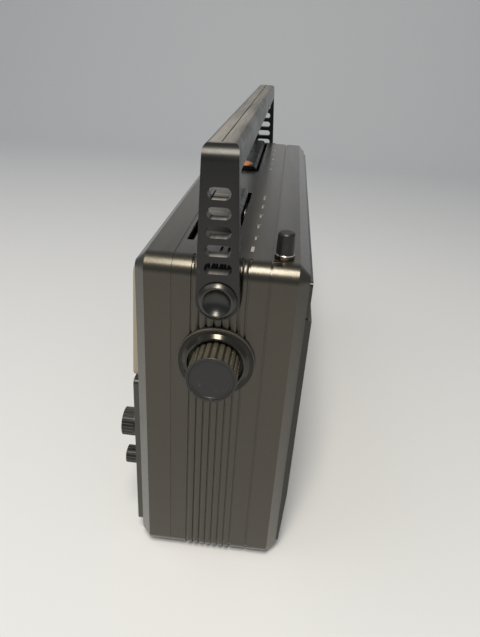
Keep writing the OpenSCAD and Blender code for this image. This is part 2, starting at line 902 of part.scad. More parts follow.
// Rear shell: the bevelled back with its two plates, the battery opening and the aerial hole
module rear_shell() {
    cut_y = inner_back_y - over;
    cut_l = rear_y + over - cut_y;
    color("#55503f")
        difference() {
            union() {
                case_slice(seam_y, back_y + over);
                intersection() {
                    along_x(-back_w / 2, back_w)
                        back_profile();
                    along_y(back_y - eps, back_proud + over)
                        round_field(-back_w / 2, back_z, back_w / 2, back_top, back_r);
                }
                for (p = screw_places)
                    screw_boss(p, seam_y, inner_back_y - seam_y + eps);
                block([aerial_x - clip_r, aerial_y - aerial_r - over, aerial_lo_z],
                    [aerial_x + clip_r, inner_back_y + eps, aerial_lo_z + tube_clip_h]);
            }
            seam_cut(seam_y, seam_groove);
            along_y(cut_y, back_proud + over)
                back_hollow();
            along_y(cut_y, cut_l)
                translate([battery_x, battery_mid_z])
                    square([door_open_l, door_open_h], center = true);
            along_y(back_y, back_proud + over)
                translate([battery_x, battery_mid_z])
                    round_rect(cover_l + 2 * play, cover_h + 2 * play, cover_r);
            along_y(cut_y, cut_l)
                translate([inlet_x, socket_z])
                    square([inlet_w + 2 * seat, inlet_h + 2 * seat], center = true);
            bar_y(cut_y, cut_l, phone_body_r + seat, phone_x, socket_z);
            translate([aerial_x, aerial_y, aerial_lo_z - over])
                cylinder(h = aerial_l + 2 * over, r = aerial_r + seat);
            translate([aerial_x + collar_r, aerial_y, top_z])
                block([-over, seam_y - over - aerial_y, -notch_d], [notch_l, -ease, over]);
            for (p = screw_places) {
                bar_y(seam_y - over, case_d, screw_r + seat, p[0], p[1]);
                bar_y(screw_head_y, cut_l, screw_head_r + seat, p[0], p[1]);
            }
        }
}

// Hollow behind the lower plate, clear of the battery opening, sockets and screws
module back_hollow() {
    difference() {
        round_field(-back_w / 2 + wall, back_toe_z, back_w / 2 - wall, back_step_z - wall, back_r);
        translate([battery_x, battery_mid_z])
            square([battery_l + 2 * wall, battery_h + 2 * wall], center = true);
        translate([inlet_x, socket_z])
            square([inlet_w + 2 * wall, inlet_h + 2 * wall], center = true);
        translate([phone_x, socket_z])
            circle(phone_body_r + wall);
        translate([aerial_x, aerial_lo_z + tube_clip_h / 2])
            square([2 * clip_r, tube_clip_h], center = true);
    }
}

// Lower front panel with its rows of louvres, stepped under the cassette door
module front_panel() {
    color("#3f3a2e")
        difference() {
            along_y(panel_y, panel_t)
                difference() {
                    union() {
                        round_field(panel_lo_x, panel_z, panel_hi_x, panel_step_z, panel_r);
                        round_field(step_x, panel_z, panel_hi_x, panel_top, panel_r);
                    }
                    for (i = [0:louvre_columns - 1], k = [0:louvre_rows - 1])
                        translate([louvre_x0 + i * louvre_column_pitch, louvre_z0 + k * louvre_pitch])
                            square([louvre_l, louvre_h], center = true);
                }
            for (z = [volume_z, tone_z])
                bar_y(panel_y - over, panel_t + 2 * over, spindle_r + play, knob_x, z);
        }
}

// Cream-edged clear window over the dial, leaning back
module dial_window() {
    color("#d9cfa8")
        intersection() {
            along_y(panel_y, panel_t)
                round_field(dial_lo_x, dial_lo_z, dial_hi_x, dial_hi_z, panel_r);
            along_x(dial_lo_x - over, dial_hi_x - dial_lo_x + 2 * over)
                polygon([[front_y + over, dial_lo_z - over], [panel_y, dial_lo_z - over],
                    [panel_y + dial_rake, dial_hi_z + over], [front_y + over, dial_hi_z + over]]);
        }
}

// Printed scale with the slot of the pointer and the guide stud of the cord
module dial_scale() {
    slot_lo_x = pointer_x - pointer_travel - pointer_clip_w;
    color("#23211c") {
        difference() {
            along_y(scale_y, scale_t)
                round_field(dial_lo_x + over, dial_lo_z + over, dial_hi_x - over, dial_hi_z - over,
                    panel_r);
            block([slot_lo_x, scale_y - over, cord_z - pointer_slot_h / 2],
                [pointer_x + pointer_clip_w, scale_y + scale_t + over, cord_z + pointer_slot_h / 2]);
        }
        bar_y(scale_y + scale_t - eps, drum_y + drum_t - scale_y - scale_t, stud_r - cord_d, stud_x,
            stud_z);
    }
}

// Pointer: a blade with a neck through the scale's slot and a hook over the cord
module dial_pointer() {
    front = scale_y - play - pointer_t;
    top_z = cord_z + pointer_clip_h / 2;
    color("#c8402a")
        difference() {
            union() {
                block([pointer_x - pointer_w / 2, front, pointer_lo_z],
                    [pointer_x + pointer_w / 2, front + pointer_t, top_z]);
                block([pointer_x - pointer_clip_w / 2, front, cord_z - pointer_clip_h / 2],
                    [pointer_x + pointer_clip_w / 2, cord_y + cord_d / 2 + play + pointer_t, top_z]);
            }
            block([pointer_x - pointer_clip_w, cord_y - cord_d / 2 - play, cord_z - pointer_clip_h],
                [pointer_x + pointer_clip_w, cord_y + cord_d / 2 + play, cord_z + cord_d / 2 + play]);
        }
}

// Thin loop round two wheels, one at the origin and one at a place, by its outer radii
module loop(r0, r1, place, t) {
    difference() {
        loop_outline(r0, r1, place);
        loop_outline(r0 - t, r1 - t, place);
    }
}

// Outline of a loop: two wheels and the straight runs between them
module loop_outline(r0, r1, place) {
    hull() {
        circle(r0);
        translate(place)
            circle(r1);
    }
}

// Dial cord round the drum and its guide stud
module dial_cord() {
    color("#cfc9b8")
        along_y(cord_y - cord_d / 2, cord_d)
            translate([drum_x, drum_z])
                loop(drum_r, stud_r, [stud_x - drum_x, stud_z - drum_z], cord_d);
}

// Cord drum on the spindle of the tuning capacitor
module tuning_drum() {
    color("#b9b4a4")
        translate([drum_x, drum_y, drum_z])
            difference() {
                union() {
                    bar_y(0, drum_t, drum_r - cord_d - play, 0, 0);
                    bar_y(0, drum_shaft_l, drum_shaft_r, 0, 0);
                }
                for (a = [45:90:315])
                    bar_y(-over, drum_t + 2 * over, drum_hole_r, drum_hole_at * cos(a),
                        drum_hole_at * sin(a));
            }
}

// Two-gang tuning capacitor on the board
module tuning_capacitor() {
    front = drum_y + drum_t + capacitor_gap;
    color("#b6bcc0")
        difference() {
            block([drum_x - capacitor_w / 2, front, drum_z - capacitor_h / 2],
                [drum_x + capacitor_w / 2, board_y, drum_z + capacitor_h / 2]);
            bar_y(front - over, board_y - front - over, drum_shaft_r + running, drum_x, drum_z);
        }
}

// Round bezel in the right-hand end: a flat ring, a raised cone and the tuning shaft's bearing
module tuning_bezel() {
    cone_r = bezel_r - bezel_ring;
    well_r = cone_r - bezel_cone;
    crest = bezel_t + bezel_cone_t;
    bearing_x = inner_end_x - bearing_l;
    color("#26241f")
        difference() {
            union() {
                turned_x(end_x, 0, tune_z)
                    polygon([[0, 0], [bezel_r, 0], [bezel_r, bezel_t - bezel_edge],
                        [bezel_r - bezel_edge, bezel_t], [cone_r, bezel_t], [well_r + bezel_edge, crest],
                        [well_r, crest], [well_r, bezel_floor], [0, bezel_floor]]);
                bar_x(inner_end_x, wall + eps, bezel_plug_r, 0, tune_z);
                bar_x(bearing_x, bearing_l + eps, tune_shaft_r + bearing_wall, 0, tune_z);
            }
            bar_x(bearing_x - over, end_x - bearing_x + crest, tune_shaft_r + running, 0, tune_z);
        }
}

// Tuning shaft with its cord pulley inside the case
module tuning_shaft() {
    x = inner_end_x - bearing_l - play - pulley_t;
    rim = tune_shaft_r + pulley_rim;
    waist = rim - pulley_groove;
    step = pulley_t / 6;
    color("#c3c6c8") {
        bar_x(x - 2 * over, tune_x + tune_l * grip_share - x + 2 * over, tune_shaft_r, 0, tune_z);
        turned_x(x, 0, tune_z)
            polygon([[0, 0], [rim, 0], [rim, step], [waist, 2 * step], [waist, 4 * step], [rim, 5 * step],
                [rim, pulley_t], [0, pulley_t]]);
    }
}

// Outline of a fluted knob
module fluted_outline(r, flutes) {
    cut = PI * r / flutes * flute_share;
    difference() {
        circle(r);
        for (i = [0:flutes - 1])
            rotate(i * 360 / flutes)
                translate([r + cut * flute_out, 0])
                    circle(cut, $fn = 24);
    }
}

// Fluted tuning knob with a shallow well for its disc
module tuning_knob() {
    color("#1f1e1b")
        difference() {
            along_x(tune_x, tune_l)
                translate([0, tune_z])
                    fluted_outline(tune_r, tune_flutes);
            bar_x(tune_x - over, over + tune_l * grip_share + seat, tune_shaft_r + seat / 2, 0, tune_z);
            bar_x(tune_x + tune_l - tune_disc_t, tune_disc_t + over, tune_r - tune_rim + seat, 0, tune_z);
        }
}

// Disc in the face of the tuning knob, sunk inside its rim
module tuning_knob_disc() {
    rim = tune_r - tune_rim;
    floor_x = tune_disc_t - play;
    color("#3a3833")
        turned_x(tune_x + tune_l - tune_disc_t, 0, tune_z)
            polygon([[0, 0], [rim, 0], [rim, tune_disc_t], [rim - key_ease, tune_disc_t],
                [rim - key_ease - play, floor_x], [0, floor_x]]);
}

// Side view of a handle arm: a round foot that tapers up to the grip
module arm_outline() {
    translate([0, pivot_z]) {
        circle(arm_r);
        polygon([[-arm_r * cos(arm_lean), arm_r * sin(arm_lean)],
            [arm_r * cos(arm_lean), arm_r * sin(arm_lean)],
            [grip_w / 2, arm_h - grip_r], [-grip_w / 2, arm_h - grip_r]]);
        translate([-grip_w / 2 + grip_r, arm_h - grip_r - eps])
            square([grip_w - 2 * grip_r, grip_r + eps]);
        for (s = [-1, 1])
            translate([s * (grip_w / 2 - grip_r), arm_h - grip_r])
                circle(grip_r);
    }
}

// Width of a handle arm at a height above its pivot
function arm_width(h) = 2 * (arm_r + (grip_w / 2 - arm_r) * h / arm_h);

// Carrying handle: two slotted arms and the grip in one moulding, leaning forward
module handle() {
    low_z = pivot_z - arm_r - 2 * handle_corner_r;
    out_x = arm_out_x + over;
    color("#1d1c1a")
        translate([0, 0, pivot_z])
            rotate([handle_lean, 0, 0])
                translate([0, 0, -pivot_z])
                    difference() {
                        intersection() {
                            along_y(-arm_r - over, 2 * arm_r + 2 * over)
                                difference() {
                                    round_field(-arm_out_x, low_z, arm_out_x, handle_top_z, handle_corner_r);
                                    round_field(-arm_x, low_z - 2 * handle_corner_r, arm_x,
                                        handle_top_z - grip_t, handle_inner_r);
                                }
                            along_x(-out_x, 2 * out_x)
                                arm_outline();
                        }
                        for (i = [0:arm_slots - 1]) {
                            h = arm_slot_z + i * arm_slot_pitch;
                            along_x(-out_x, 2 * out_x)
                                translate([0, pivot_z + h])
                                    round_rect(arm_width(h) - 2 * arm_slot_rail, arm_slot_h,
                                        arm_slot_h / 2 - seat);
                        }
                        bar_x(-out_x, 2 * out_x, bolt_r + running, 0, pivot_z);
                        block([-arm_x, -grip_groove / 2, handle_top_z - grip_groove],
                            [arm_x, grip_groove / 2, handle_top_z + over]);
                    }
}

// Pair of stepped bolts that the handle turns on, with dished heads
module handle_pivots() {
    shank = bolt_boss_l + wall + handle_gap - play;
    face = shank + arm_t + 2 * play;
    top = face + bolt_head_t;
    color("#2a2926")
        for (s = [0, 1])
            mirror([s, 0, 0])
                turned_x(inner_end_x - bolt_boss_l, 0, pivot_z)
                    polygon([[0, 0], [bolt_thread_r, 0], [bolt_thread_r, shank], [bolt_r, shank],
                        [bolt_r, face], [bolt_head_r, face], [bolt_head_r, top - rim_w],
                        [bolt_head_r - rim_w, top], [bolt_head_r - 2 * rim_w, top], [0, top - dish_d]]);
}

// Side view of a key cap: flat top, bevelled rear edge and eased front edge
module key_outline(z) {
    top = z + key_cap_h;
    polygon([[key_front, z], [key_back, z], [key_back, top - key_bevel], [key_back - key_bevel, top],
        [key_front + key_ease, top], [key_front, top - key_ease]]);
}

// Band key with its stem; the first one is latched down
module band_key(i) {
    x = band_x0 - i * band_pitch;
    drop = i == 0 ? band_travel : 0;
    z = key_top_z - key_cap_h - drop;
    color("#8b897c") {
        along_x(x - band_w / 2, band_w)
            key_outline(z);
        block([x - stem_w / 2, stem_y - stem_t / 2, z - stem_l],
            [x + stem_w / 2, stem_y + stem_t / 2, z + eps]);
    }
}

// Band switch housing under the top, with a channel for each stem
module band_switch() {
    lo_x = band_lo_x - switch_post;
    hi_x = band_hi_x + switch_post;
    y0 = stem_y - stem_t / 2 - switch_wall;
    y1 = stem_y + stem_t / 2 + switch_wall;
    color("#7d7a70")
        difference() {
            union() {
                block([lo_x, y0, switch_top_z - switch_h], [hi_x, y1, switch_top_z]);
                for (x = [lo_x, hi_x - switch_post + play])
                    block([x, y0, switch_top_z - over], [x + switch_post - play, y1, inner_top_z]);
            }
            for (i = [0:band_keys - 1])
                translate([band_x0 - i * band_pitch, stem_y, switch_top_z - switch_h / 2])
                    cube([stem_w + 2 * play, stem_t + 2 * play, switch_h + 2 * over], center = true);
        }
}

// Tape key: a cap on a lever with an eye for the common shaft
module tape_key(i) {
    x = tape_x0 - i * tape_pitch;
    z = key_top_z - key_cap_h;
    color("#1f1e1c")
        difference() {
            along_x(x - tape_w / 2, tape_w) {
                key_outline(z);
                translate([tape_shaft_y, tape_shaft_z])
                    circle(tape_eye_r);
                polygon([[key_back - lever_in, z + over], [key_back - lever_in, lever_low],
                    [tape_shaft_y, lever_low], [tape_shaft_y, lever_top], [key_back, lever_top],
                    [key_back, z + over]]);
            }
            bar_x(x - tape_w, 2 * tape_w, tape_shaft_r + running, tape_shaft_y, tape_shaft_z);
        }
}

// Common shaft of the tape keys
module tape_key_shaft() {
    lo_x = tape_lo_x - lug_off - lug_t;
    hi_x = tape_hi_x + lug_off + lug_t;
    color("#b9bcbe")
        bar_x(lo_x, hi_x - lo_x, tape_shaft_r, tape_shaft_y, tape_shaft_z);
}

// Cassette door: a frame round the window, two guides for the cassette and the hinge pins
module cassette_door() {
    lo_x = bay_x - door_w / 2;
    y = panel_y;
    color("#33302a")
        difference() {
            union() {
                along_x(lo_x, door_w) {
                    translate([door_hinge_y, door_hinge_z])
                        circle(door_edge_r);
                    polygon([[y, door_hinge_z], [y + door_t, door_hinge_z], [y + door_t, door_lo_z + door_h],
                        [y + door_edge, door_lo_z + door_h], [y, door_lo_z + door_h - door_edge]]);
                }
                bar_x(lo_x - door_pin_l, door_w + 2 * door_pin_l, door_pin_r, door_hinge_y, door_hinge_z);
                for (s = [-1, 1])
                    translate([bay_x + s * (bay_w / 2 - guide_in), y + door_t, bay_z])
                        block([-guide_t / 2, -eps, guide_lo], [guide_t / 2, guide_d, bay_h - guide_hi]);
            }
            translate([bay_x, 0, hub_z]) {
                along_y(y - over, door_t + 2 * over)
                    round_rect(door_window_w - 2 * window_lap, door_window_h - 2 * window_lap,
                        window_r - over);
                along_y(y + door_t - door_window_t, door_window_t + over)
                    round_rect(door_window_w, door_window_h, window_r);
            }
        }
}

// Clear window set into the back of the cassette door
module cassette_window() {
    y = door_hinge_y + door_edge_r - door_window_t;
    color("#6d7376")
        along_y(y, door_window_t)
            translate([bay_x, hub_z])
                round_rect(door_window_w - 2 * seat, door_window_h - 2 * seat, window_r - seat);
}

// Deck plate behind the cassette well, with bearings, posts and key shaft lugs
module deck_plate() {
    lo_x = tape_lo_x - lug_off - lug_t;
    hi_x = tape_hi_x + lug_off + lug_t;
    hi_z = tape_shaft_z + deck_rise;
    color("#a9adb0")
        difference() {
            union() {
                block([bay_x - bay_w / 2 - deck_margin, deck_y, bay_z - deck_drop],
                    [bay_x + bay_w / 2 + deck_margin, deck_y + deck_t, tape_shaft_z - deck_step]);
                block([lo_x, deck_y, tape_shaft_z - deck_band], [hi_x, deck_y + deck_t, hi_z]);
                for (x = [lo_x, hi_x - lug_t])
                    block([x, deck_y, tape_shaft_z - lug_drop], [x + lug_t, tape_shaft_y + lug_edge, hi_z]);
                for (s = [-1, 1]) {
                    bar_y(deck_y, hub_bearing_l, hub_stub_r + bearing_t, bay_x + s * hub_spacing / 2, hub_z);
                    bar_y(bridge_y - over, bridge_t + play + over + eps, pin_r, bay_x + s * pin_dx,
                        bridge_z + bridge_h / 2);
                    bar_y(deck_y, motor_y - deck_y, motor_post_r, motor_x, capstan_z + s * motor_post_dz);
                }
                bar_y(deck_y, flywheel_y - deck_y - play, capstan_r + bearing_t, capstan_x, capstan_z);
            }
            for (s = [-1, 1])
                bar_y(deck_y - over, hub_bearing_l + 2 * over, hub_stub_r + running,
                    bay_x + s * hub_spacing / 2, hub_z);
            bar_y(deck_y - over, flywheel_y - deck_y + 2 * over, capstan_r + running, capstan_x, capstan_z);
            bar_x(lo_x - over, hi_x - lo_x + 2 * over, tape_shaft_r + seat / 2, tape_shaft_y, tape_shaft_z);
        }
}

// Head bridge: a sliding plate with two heads and the pinch roller's axle
module head_bridge() {
    color("#c9cccd")
        difference() {
            union() {
                translate([bay_x, bridge_y, bridge_z]) {
                    block([-bridge_w / 2, 0, 0], [bridge_w / 2, bridge_t, bridge_h]);
                    block([-head_w / 2, -head_l, head_lift], [head_w / 2, eps, bridge_h - head_top]);
                    translate([-capstan_dx, 0, 0])
                        block([-erase_w / 2, -head_l, head_lift], [erase_w / 2, eps, bridge_h - head_lift]);
                }
                bar_y(bridge_y - head_l, head_l + eps, pinch_axle_r, capstan_x, pinch_z);
            }
            translate([capstan_x, bridge_y, 0])
                block([-capstan_r - bridge_notch, -over, pinch_z + pinch_r],
                    [capstan_r + bridge_notch, bridge_t + over, bridge_z + bridge_h + over]);
            for (s = [-1, 1])
                translate([bay_x + s * pin_dx, 0, bridge_z + bridge_h / 2 - bridge_travel / 2])
                    along_y(bridge_y - over, bridge_t + 2 * over)
                        square([2 * (pin_r + play), bridge_travel + 2 * (pin_r + play)], center = true);
        }
}

// Rubber pinch roller on the head bridge
module pinch_roller() {
    color("#1b1b1b")
        difference() {
            bar_y(bridge_y - head_l + play, head_l - 2 * play, pinch_r, capstan_x, pinch_z);
            bar_y(bridge_y - head_l - over, head_l + 2 * over, pinch_axle_r + running, capstan_x, pinch_z);
        }
}

// Reel spindle with its three drive splines
module reel_spindle(x) {
    waist = hub_r - hub_waist;
    flange = hub_r + hub_flange_w;
    seat_l = hub_reach - play;
    neck_l = seat_l - hub_flange_t;
    end_l = hub_reach + hub_bearing_l;
    color("#d8d6cf")
        translate([x, deck_y - hub_reach, hub_z]) {
            turned_y(0, 0, 0)
                polygon([[0, 0], [hub_tip_r, 0], [waist, hub_tip_l], [waist, neck_l], [flange, neck_l],
                    [flange, seat_l], [hub_stub_r, seat_l], [hub_stub_r, end_l], [0, end_l]]);
            for (a = [0:120:240])
                rotate([0, a, 0])
                    block([-hub_spline_w / 2, hub_tip_l + ease, 0], [hub_spline_w / 2, neck_l + eps, hub_r]);
        }
}

// Flywheel with the capstan as its shaft
module flywheel() {
    face = flywheel_y - deck_y + hub_reach;
    rim = face + flywheel_t;
    web = rim - wheel_web;
    color("#8e9295")
        turned_y(capstan_x, deck_y - hub_reach, capstan_z)
            polygon([[0, 0], [capstan_r, 0], [capstan_r, face], [flywheel_r, face], [flywheel_r, rim],
                [flywheel_r - wheel_rim, rim], [flywheel_r - wheel_rim - over, web], [0, web]]);
}

// Motor behind the deck plate
module motor() {
    color("#9aa0a4")
        difference() {
            union() {
                bar_y(motor_y, motor_l, motor_r, motor_x, capstan_z);
                bar_y(motor_y + motor_l - eps, motor_end_t, motor_end_r, motor_x, capstan_z);
            }
            bar_y(motor_y - over, motor_shaft_l, motor_shaft_r + running, motor_x, capstan_z);
        }
}

// Pulley on the motor shaft
module motor_pulley() {
    color("#c7a24a") {
        bar_y(flywheel_y, flywheel_t + motor_shaft_l, motor_shaft_r, motor_x, capstan_z);
        bar_y(flywheel_y, flywheel_t, motor_pulley_r, motor_x, capstan_z);
    }
}

// Drive belt round the flywheel and the motor pulley
module drive_belt() {
    color("#191919")
        along_y(belt_y - belt_w / 2, belt_w)
            translate([capstan_x, capstan_z])
                loop(flywheel_r + play + belt_t, motor_pulley_r + play + belt_t,
                    [motor_x - capstan_x, 0], belt_t);
}

// Pressed speaker basket with its magnet
module speaker_basket() {
    lip = speaker_hole_r + speaker_lip;
    back = speaker_d + magnet_t;
    color("#8d8f8c")
        translate([speaker_x, inner_front_y, speaker_z])
            difference() {
                turned_y(0, 0, 0)
                    polygon([[lip, 0], [speaker_r, 0], [speaker_r, basket_t],
                        [speaker_hole_r + basket_wall, basket_t], [magnet_r - basket_wall, speaker_d],
                        [magnet_r, speaker_d], [magnet_r, back], [0, back], [0, speaker_d],
                        [magnet_r - 2 * basket_wall, speaker_d], [lip, basket_wall]]);
                for (i = [1:speaker_slots])
                    rotate([0, i * 360 / speaker_slots, 0])
                        block([magnet_r + basket_wall, basket_slot_y, -basket_slot_w / 2],
                            [speaker_hole_r - over, speaker_d - basket_slot_y + over, basket_slot_w / 2]);
            }
}

// Paper cone with its dust cap and rolled edge
module speaker_cone() {
    rim = speaker_hole_r - seat;
    color("#2c2a27")
        turned_y(speaker_x, inner_front_y + cone_t / 2, speaker_z)
            polygon([[rim + speaker_lip, 0], [rim + speaker_lip, cone_t], [rim - cone_edge_w, cone_t],
                [cone_neck_r, cone_depth], [0, cone_depth], [0, cone_depth - dust_cap_t],
                [dust_cap_r, cone_depth - dust_cap_t + cone_t], [cone_neck_r, cone_depth - cone_t],
                [rim - cone_edge_w - cone_t / 2, 0]]);
}

// Bodies of the two front controls
module control_pots() {
    color("#6f7072")
        for (z = [volume_z, tone_z])
            difference() {
                bar_y(inner_front_y, pot_d, pot_r, knob_x, z);
                bar_y(inner_front_y - over, pot_d - over, spindle_r + running, knob_x, z);
            }
}

// Spindle of a front control, from its body into the knob
module control_spindle(z, knob_l) {
    tip = knob_y - knob_l * grip_share;
    color("#bfc1c1")
        bar_y(tip, inner_front_y + pot_d - pot_floor - tip, spindle_r, knob_x, z);
}

// Fluted front knob with a plain skirt and a raised face
module front_knob(z, r, l, flutes) {
    color("#1c1b19")
        translate([knob_x, knob_y, z])
            difference() {
                union() {
                    along_y(-l, l - knob_skirt)
                        fluted_outline(r, flutes);
                    bar_y(-knob_skirt - eps, knob_skirt + eps, r, 0, 0);
                    bar_y(-l - knob_face_t, over, r - knob_face_rim, 0, 0);
                }
                bar_y(-l * grip_share - seat, l, spindle_r + seat / 2, 0, 0);
            }
}

// Fixed aerial tube with its bright collar
module aerial_tube() {
    color("#d6d8d8")
        translate([aerial_x, aerial_y, aerial_lo_z])
            difference() {
                union() {
                    cylinder(h = aerial_l, r = aerial_r);
                    translate([0, 0, aerial_l])
                        cylinder(h = collar_h, r = collar_r);
                }
                translate([0, 0, tube_floor])
                    cylinder(h = aerial_l + collar_h, r = aerial_r - aerial_wall);
            }
}

// Sliding section of the aerial, hollow for the inner rod
module aerial_section() {
    lo_z = aerial_lo_z + tube_floor + play;
    color("#dcdede")
        translate([aerial_x, aerial_y, lo_z])
            difference() {
                cylinder(h = top_z + collar_h - lo_z, r = section_r);
                translate([0, 0, tube_floor])
                    cylinder(h = aerial_l + collar_h, r = section_r - aerial_wall);
            }
}

// Inner rod of the aerial
module aerial_rod() {
    lo_z = aerial_lo_z + 2 * (tube_floor + play);
    color("#dcdede")
        translate([aerial_x, aerial_y, lo_z])
            cylinder(h = cap_z + aerial_cap_h / 2 - lo_z, r = rod_r);
}

// Moulded cap on the end of the inner rod
module aerial_cap() {
    color("#1a1a19")
        translate([aerial_x, aerial_y, cap_z])
            difference() {
                rotate_extrude()
                    polygon([[0, 0], [aerial_cap_r, 0], [aerial_cap_r - cap_taper, aerial_cap_h - cap_edge],
                        [aerial_cap_r - cap_taper - cap_edge, aerial_cap_h], [0, aerial_cap_h]]);
                translate([0, 0, -over])
                    cylinder(h = aerial_cap_h / 2 + over + seat, r = rod_r + seat / 2);
            }
}

// Battery box: an open tray behind the battery door
module battery_box() {
    color("#3b3933")
        difference() {
            block([battery_x - battery_l / 2, battery_y, battery_z],
                [battery_x + battery_l / 2, inner_back_y, battery_z + battery_h]);
            block([battery_x - battery_in_l / 2, battery_y + battery_wall, battery_z + battery_wall],
                [battery_x + battery_in_l / 2, inner_back_y + over, battery_z + battery_h - battery_wall]);
        }
}

// Sprung contacts at both ends of the two rows of cells
module battery_contacts() {
    color("#d9d9d4")
        for (s = [0, 1], row = [-1, 1])
            translate([battery_x, battery_y + battery_wall + cell_mid,
                battery_mid_z + row * battery_in_h / 4])
                mirror([s, 0, 0]) {
                    translate([(battery_in_l - contact_t) / 2, 0, 0])
                        cube([contact_t, contact_w, contact_w], center = true);
                    bar_x(battery_in_l / 2 - contact_t - contact_boss_t, contact_boss_t + eps,
                        contact_boss_r, 0, 0);
                }
}

// Lift-off battery door, flush with the lower plate of the back
module battery_door() {
    color("#4a463a")
        difference() {
            intersection() {
                along_y(back_y + play, back_proud)
                    translate([battery_x, battery_mid_z])
                        round_rect(cover_l, cover_h, cover_r - play);
                along_x(-back_w / 2, back_w)
                    back_profile();
            }
            for (i = [0:cover_grooves - 1])
                translate([battery_x, rear_y,
                    battery_mid_z + cover_h / 2 - cover_groove_drop - i * cover_groove_pitch])
                    cube([cover_groove_l, 2 * cover_groove_d, cover_groove_w], center = true);
        }
}

// Circuit board with its larger components
module main_board() {
    y1 = board_y + board_t;
    color("#6b5a2e")
        block([board_lo_x, board_y, board_lo_z], [board_hi_x, y1, board_hi_z]);
    color("#b9bcbe")
        for (i = [0:4])
            translate([board_lo_x + can_in + i * can_pitch, y1 - eps, board_hi_z - can_drop - can_w])
                cube([can_w, can_t, can_w]);
    color("#2b4f7a")
        for (i = [0:3])
            bar_y(y1 - eps, smoother_t, smoother_r, board_lo_x + smoother_in + i * smoother_pitch,
                board_lo_z + smoother_lift);
}

// Ferrite rod with its two coils
module ferrite_rod() {
    color("#3c3a38")
        bar_x(ferrite_lo_x, ferrite_l, ferrite_r, ferrite_y, ferrite_z);
    color("#b5752f")
        for (share = [0.3, 0.6])
            bar_x(ferrite_lo_x + share * ferrite_l, coil_l, ferrite_r + coil_t, ferrite_y, ferrite_z);
}

// Mains transformer on the floor of the case: a framed core round its winding
module transformer() {
    color("#7e8284")
        translate([inlet_x, 0, inner_base_z])
            difference() {
                block([-transformer_w / 2, winding_y + winding_out, 0],
                    [transformer_w / 2, winding_back_y - winding_out, transformer_h]);
                for (s = [-1, 1])
                    translate([s * transformer_w / 4, 0, 0])
                        block([-winding_out, winding_y, core_limb],
                            [winding_out, winding_back_y, transformer_h - core_limb]);
            }
    color("#c9b27a")
        translate([inlet_x, 0, inner_base_z])
            block([-transformer_w / 2 + winding_out, winding_y, core_limb + over],
                [transformer_w / 2 - winding_out, winding_back_y, transformer_h - core_limb - over]);
}

// Mains inlet and earphone socket in the back
module rear_sockets() {
    well_y = socket_y - inlet_well_d;
    color("#151515")
        translate([inlet_x, 0, socket_z])
            difference() {
                along_y(socket_y - inlet_d, inlet_d)
                    square([inlet_w, inlet_h], center = true);
                along_y(well_y, inlet_well_d + over)
                    round_rect(inlet_well_w, inlet_well_h, inlet_well_h / 2 - seat);
            }
    color("#c9cbcb")
        for (s = [-1, 1])
            bar_y(well_y - eps, inlet_pin_l, inlet_pin_r, inlet_x + s * inlet_pin_dx, socket_z);
    color("#202020")
        difference() {
            bar_y(socket_y - phone_depth - 2 * over, phone_depth + 2 * over, phone_body_r, phone_x, socket_z);
            bar_y(socket_y - phone_depth, phone_depth + over, phone_r, phone_x, socket_z);
        }
}

// Screws that hold the rear shell to the centre frame
module case_screws() {
    tip_y = screw_y + screw_tip;
    color("#a8a8a4")
        for (p = screw_places)
            difference() {
                union() {
                    bar_y(tip_y, screw_head_y - tip_y, screw_r, p[0], p[1]);
                    bar_y(screw_head_y, screw_head_t, screw_head_r, p[0], p[1]);
                }
                for (a = [0, 90])
                    translate([p[0], screw_head_y + screw_head_t, p[1]])
                        rotate([0, a, 0])
                            cube([screw_slot_l, screw_head_t, screw_slot_w], center = true);
            }
}

// Rubber feet
module feet() {
    color("#1c1c1c")
        for (sx = [-1, 1], sy = [-1, 1])
            translate([sx * foot_x, sy * foot_y, 0])
                rotate_extrude()
                    polygon([[0, 0], [foot_r - ease, 0], [foot_r, ease], [foot_r, foot_h], [0, foot_h]]);
}

front_shell();
centre_frame();
rear_shell();
front_panel();
dial_window();
dial_scale();
dial_pointer();
dial_cord();
tuning_drum();
tuning_capacitor();
tuning_bezel();
tuning_shaft();
tuning_knob();
tuning_knob_disc();
handle();
handle_pivots();
band_key(0);  // band_key_1
band_key(1);  // band_key_2
band_key(2);  // band_key_3
band_key(3);  // band_key_4
band_key(4);  // band_key_5
band_switch();
tape_key(0);  // tape_key_record
tape_key(1);  // tape_key_play
tape_key(2);  // tape_key_rewind
tape_key(3);  // tape_key_forward
tape_key(4);  // tape_key_stop
tape_key(5);  // tape_key_pause
tape_key_shaft();
cassette_door();
cassette_window();
deck_plate();
head_bridge();
pinch_roller();
reel_spindle(bay_x - hub_spacing / 2);  // supply_spindle
reel_spindle(bay_x + hub_spacing / 2);  // takeup_spindle
flywheel();
motor();
motor_pulley();
drive_belt();
speaker_basket();
speaker_cone();
control_pots();
control_spindle(volume_z, volume_l);  // volume_spindle
front_knob(volume_z, volume_r, volume_l, volume_flutes);  // volume_knob
control_spindle(tone_z, tone_l);  // tone_spindle
front_knob(tone_z, tone_r, tone_l, tone_flutes);  // tone_knob
aerial_tube();
aerial_section();
aerial_rod();
aerial_cap();
battery_box();
battery_contacts();
battery_door();
main_board();
ferrite_rod();
transformer();
rear_sockets();
case_screws();
feet();
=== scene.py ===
import json
import math

import bmesh
import bpy
from mathutils import Matrix, Vector


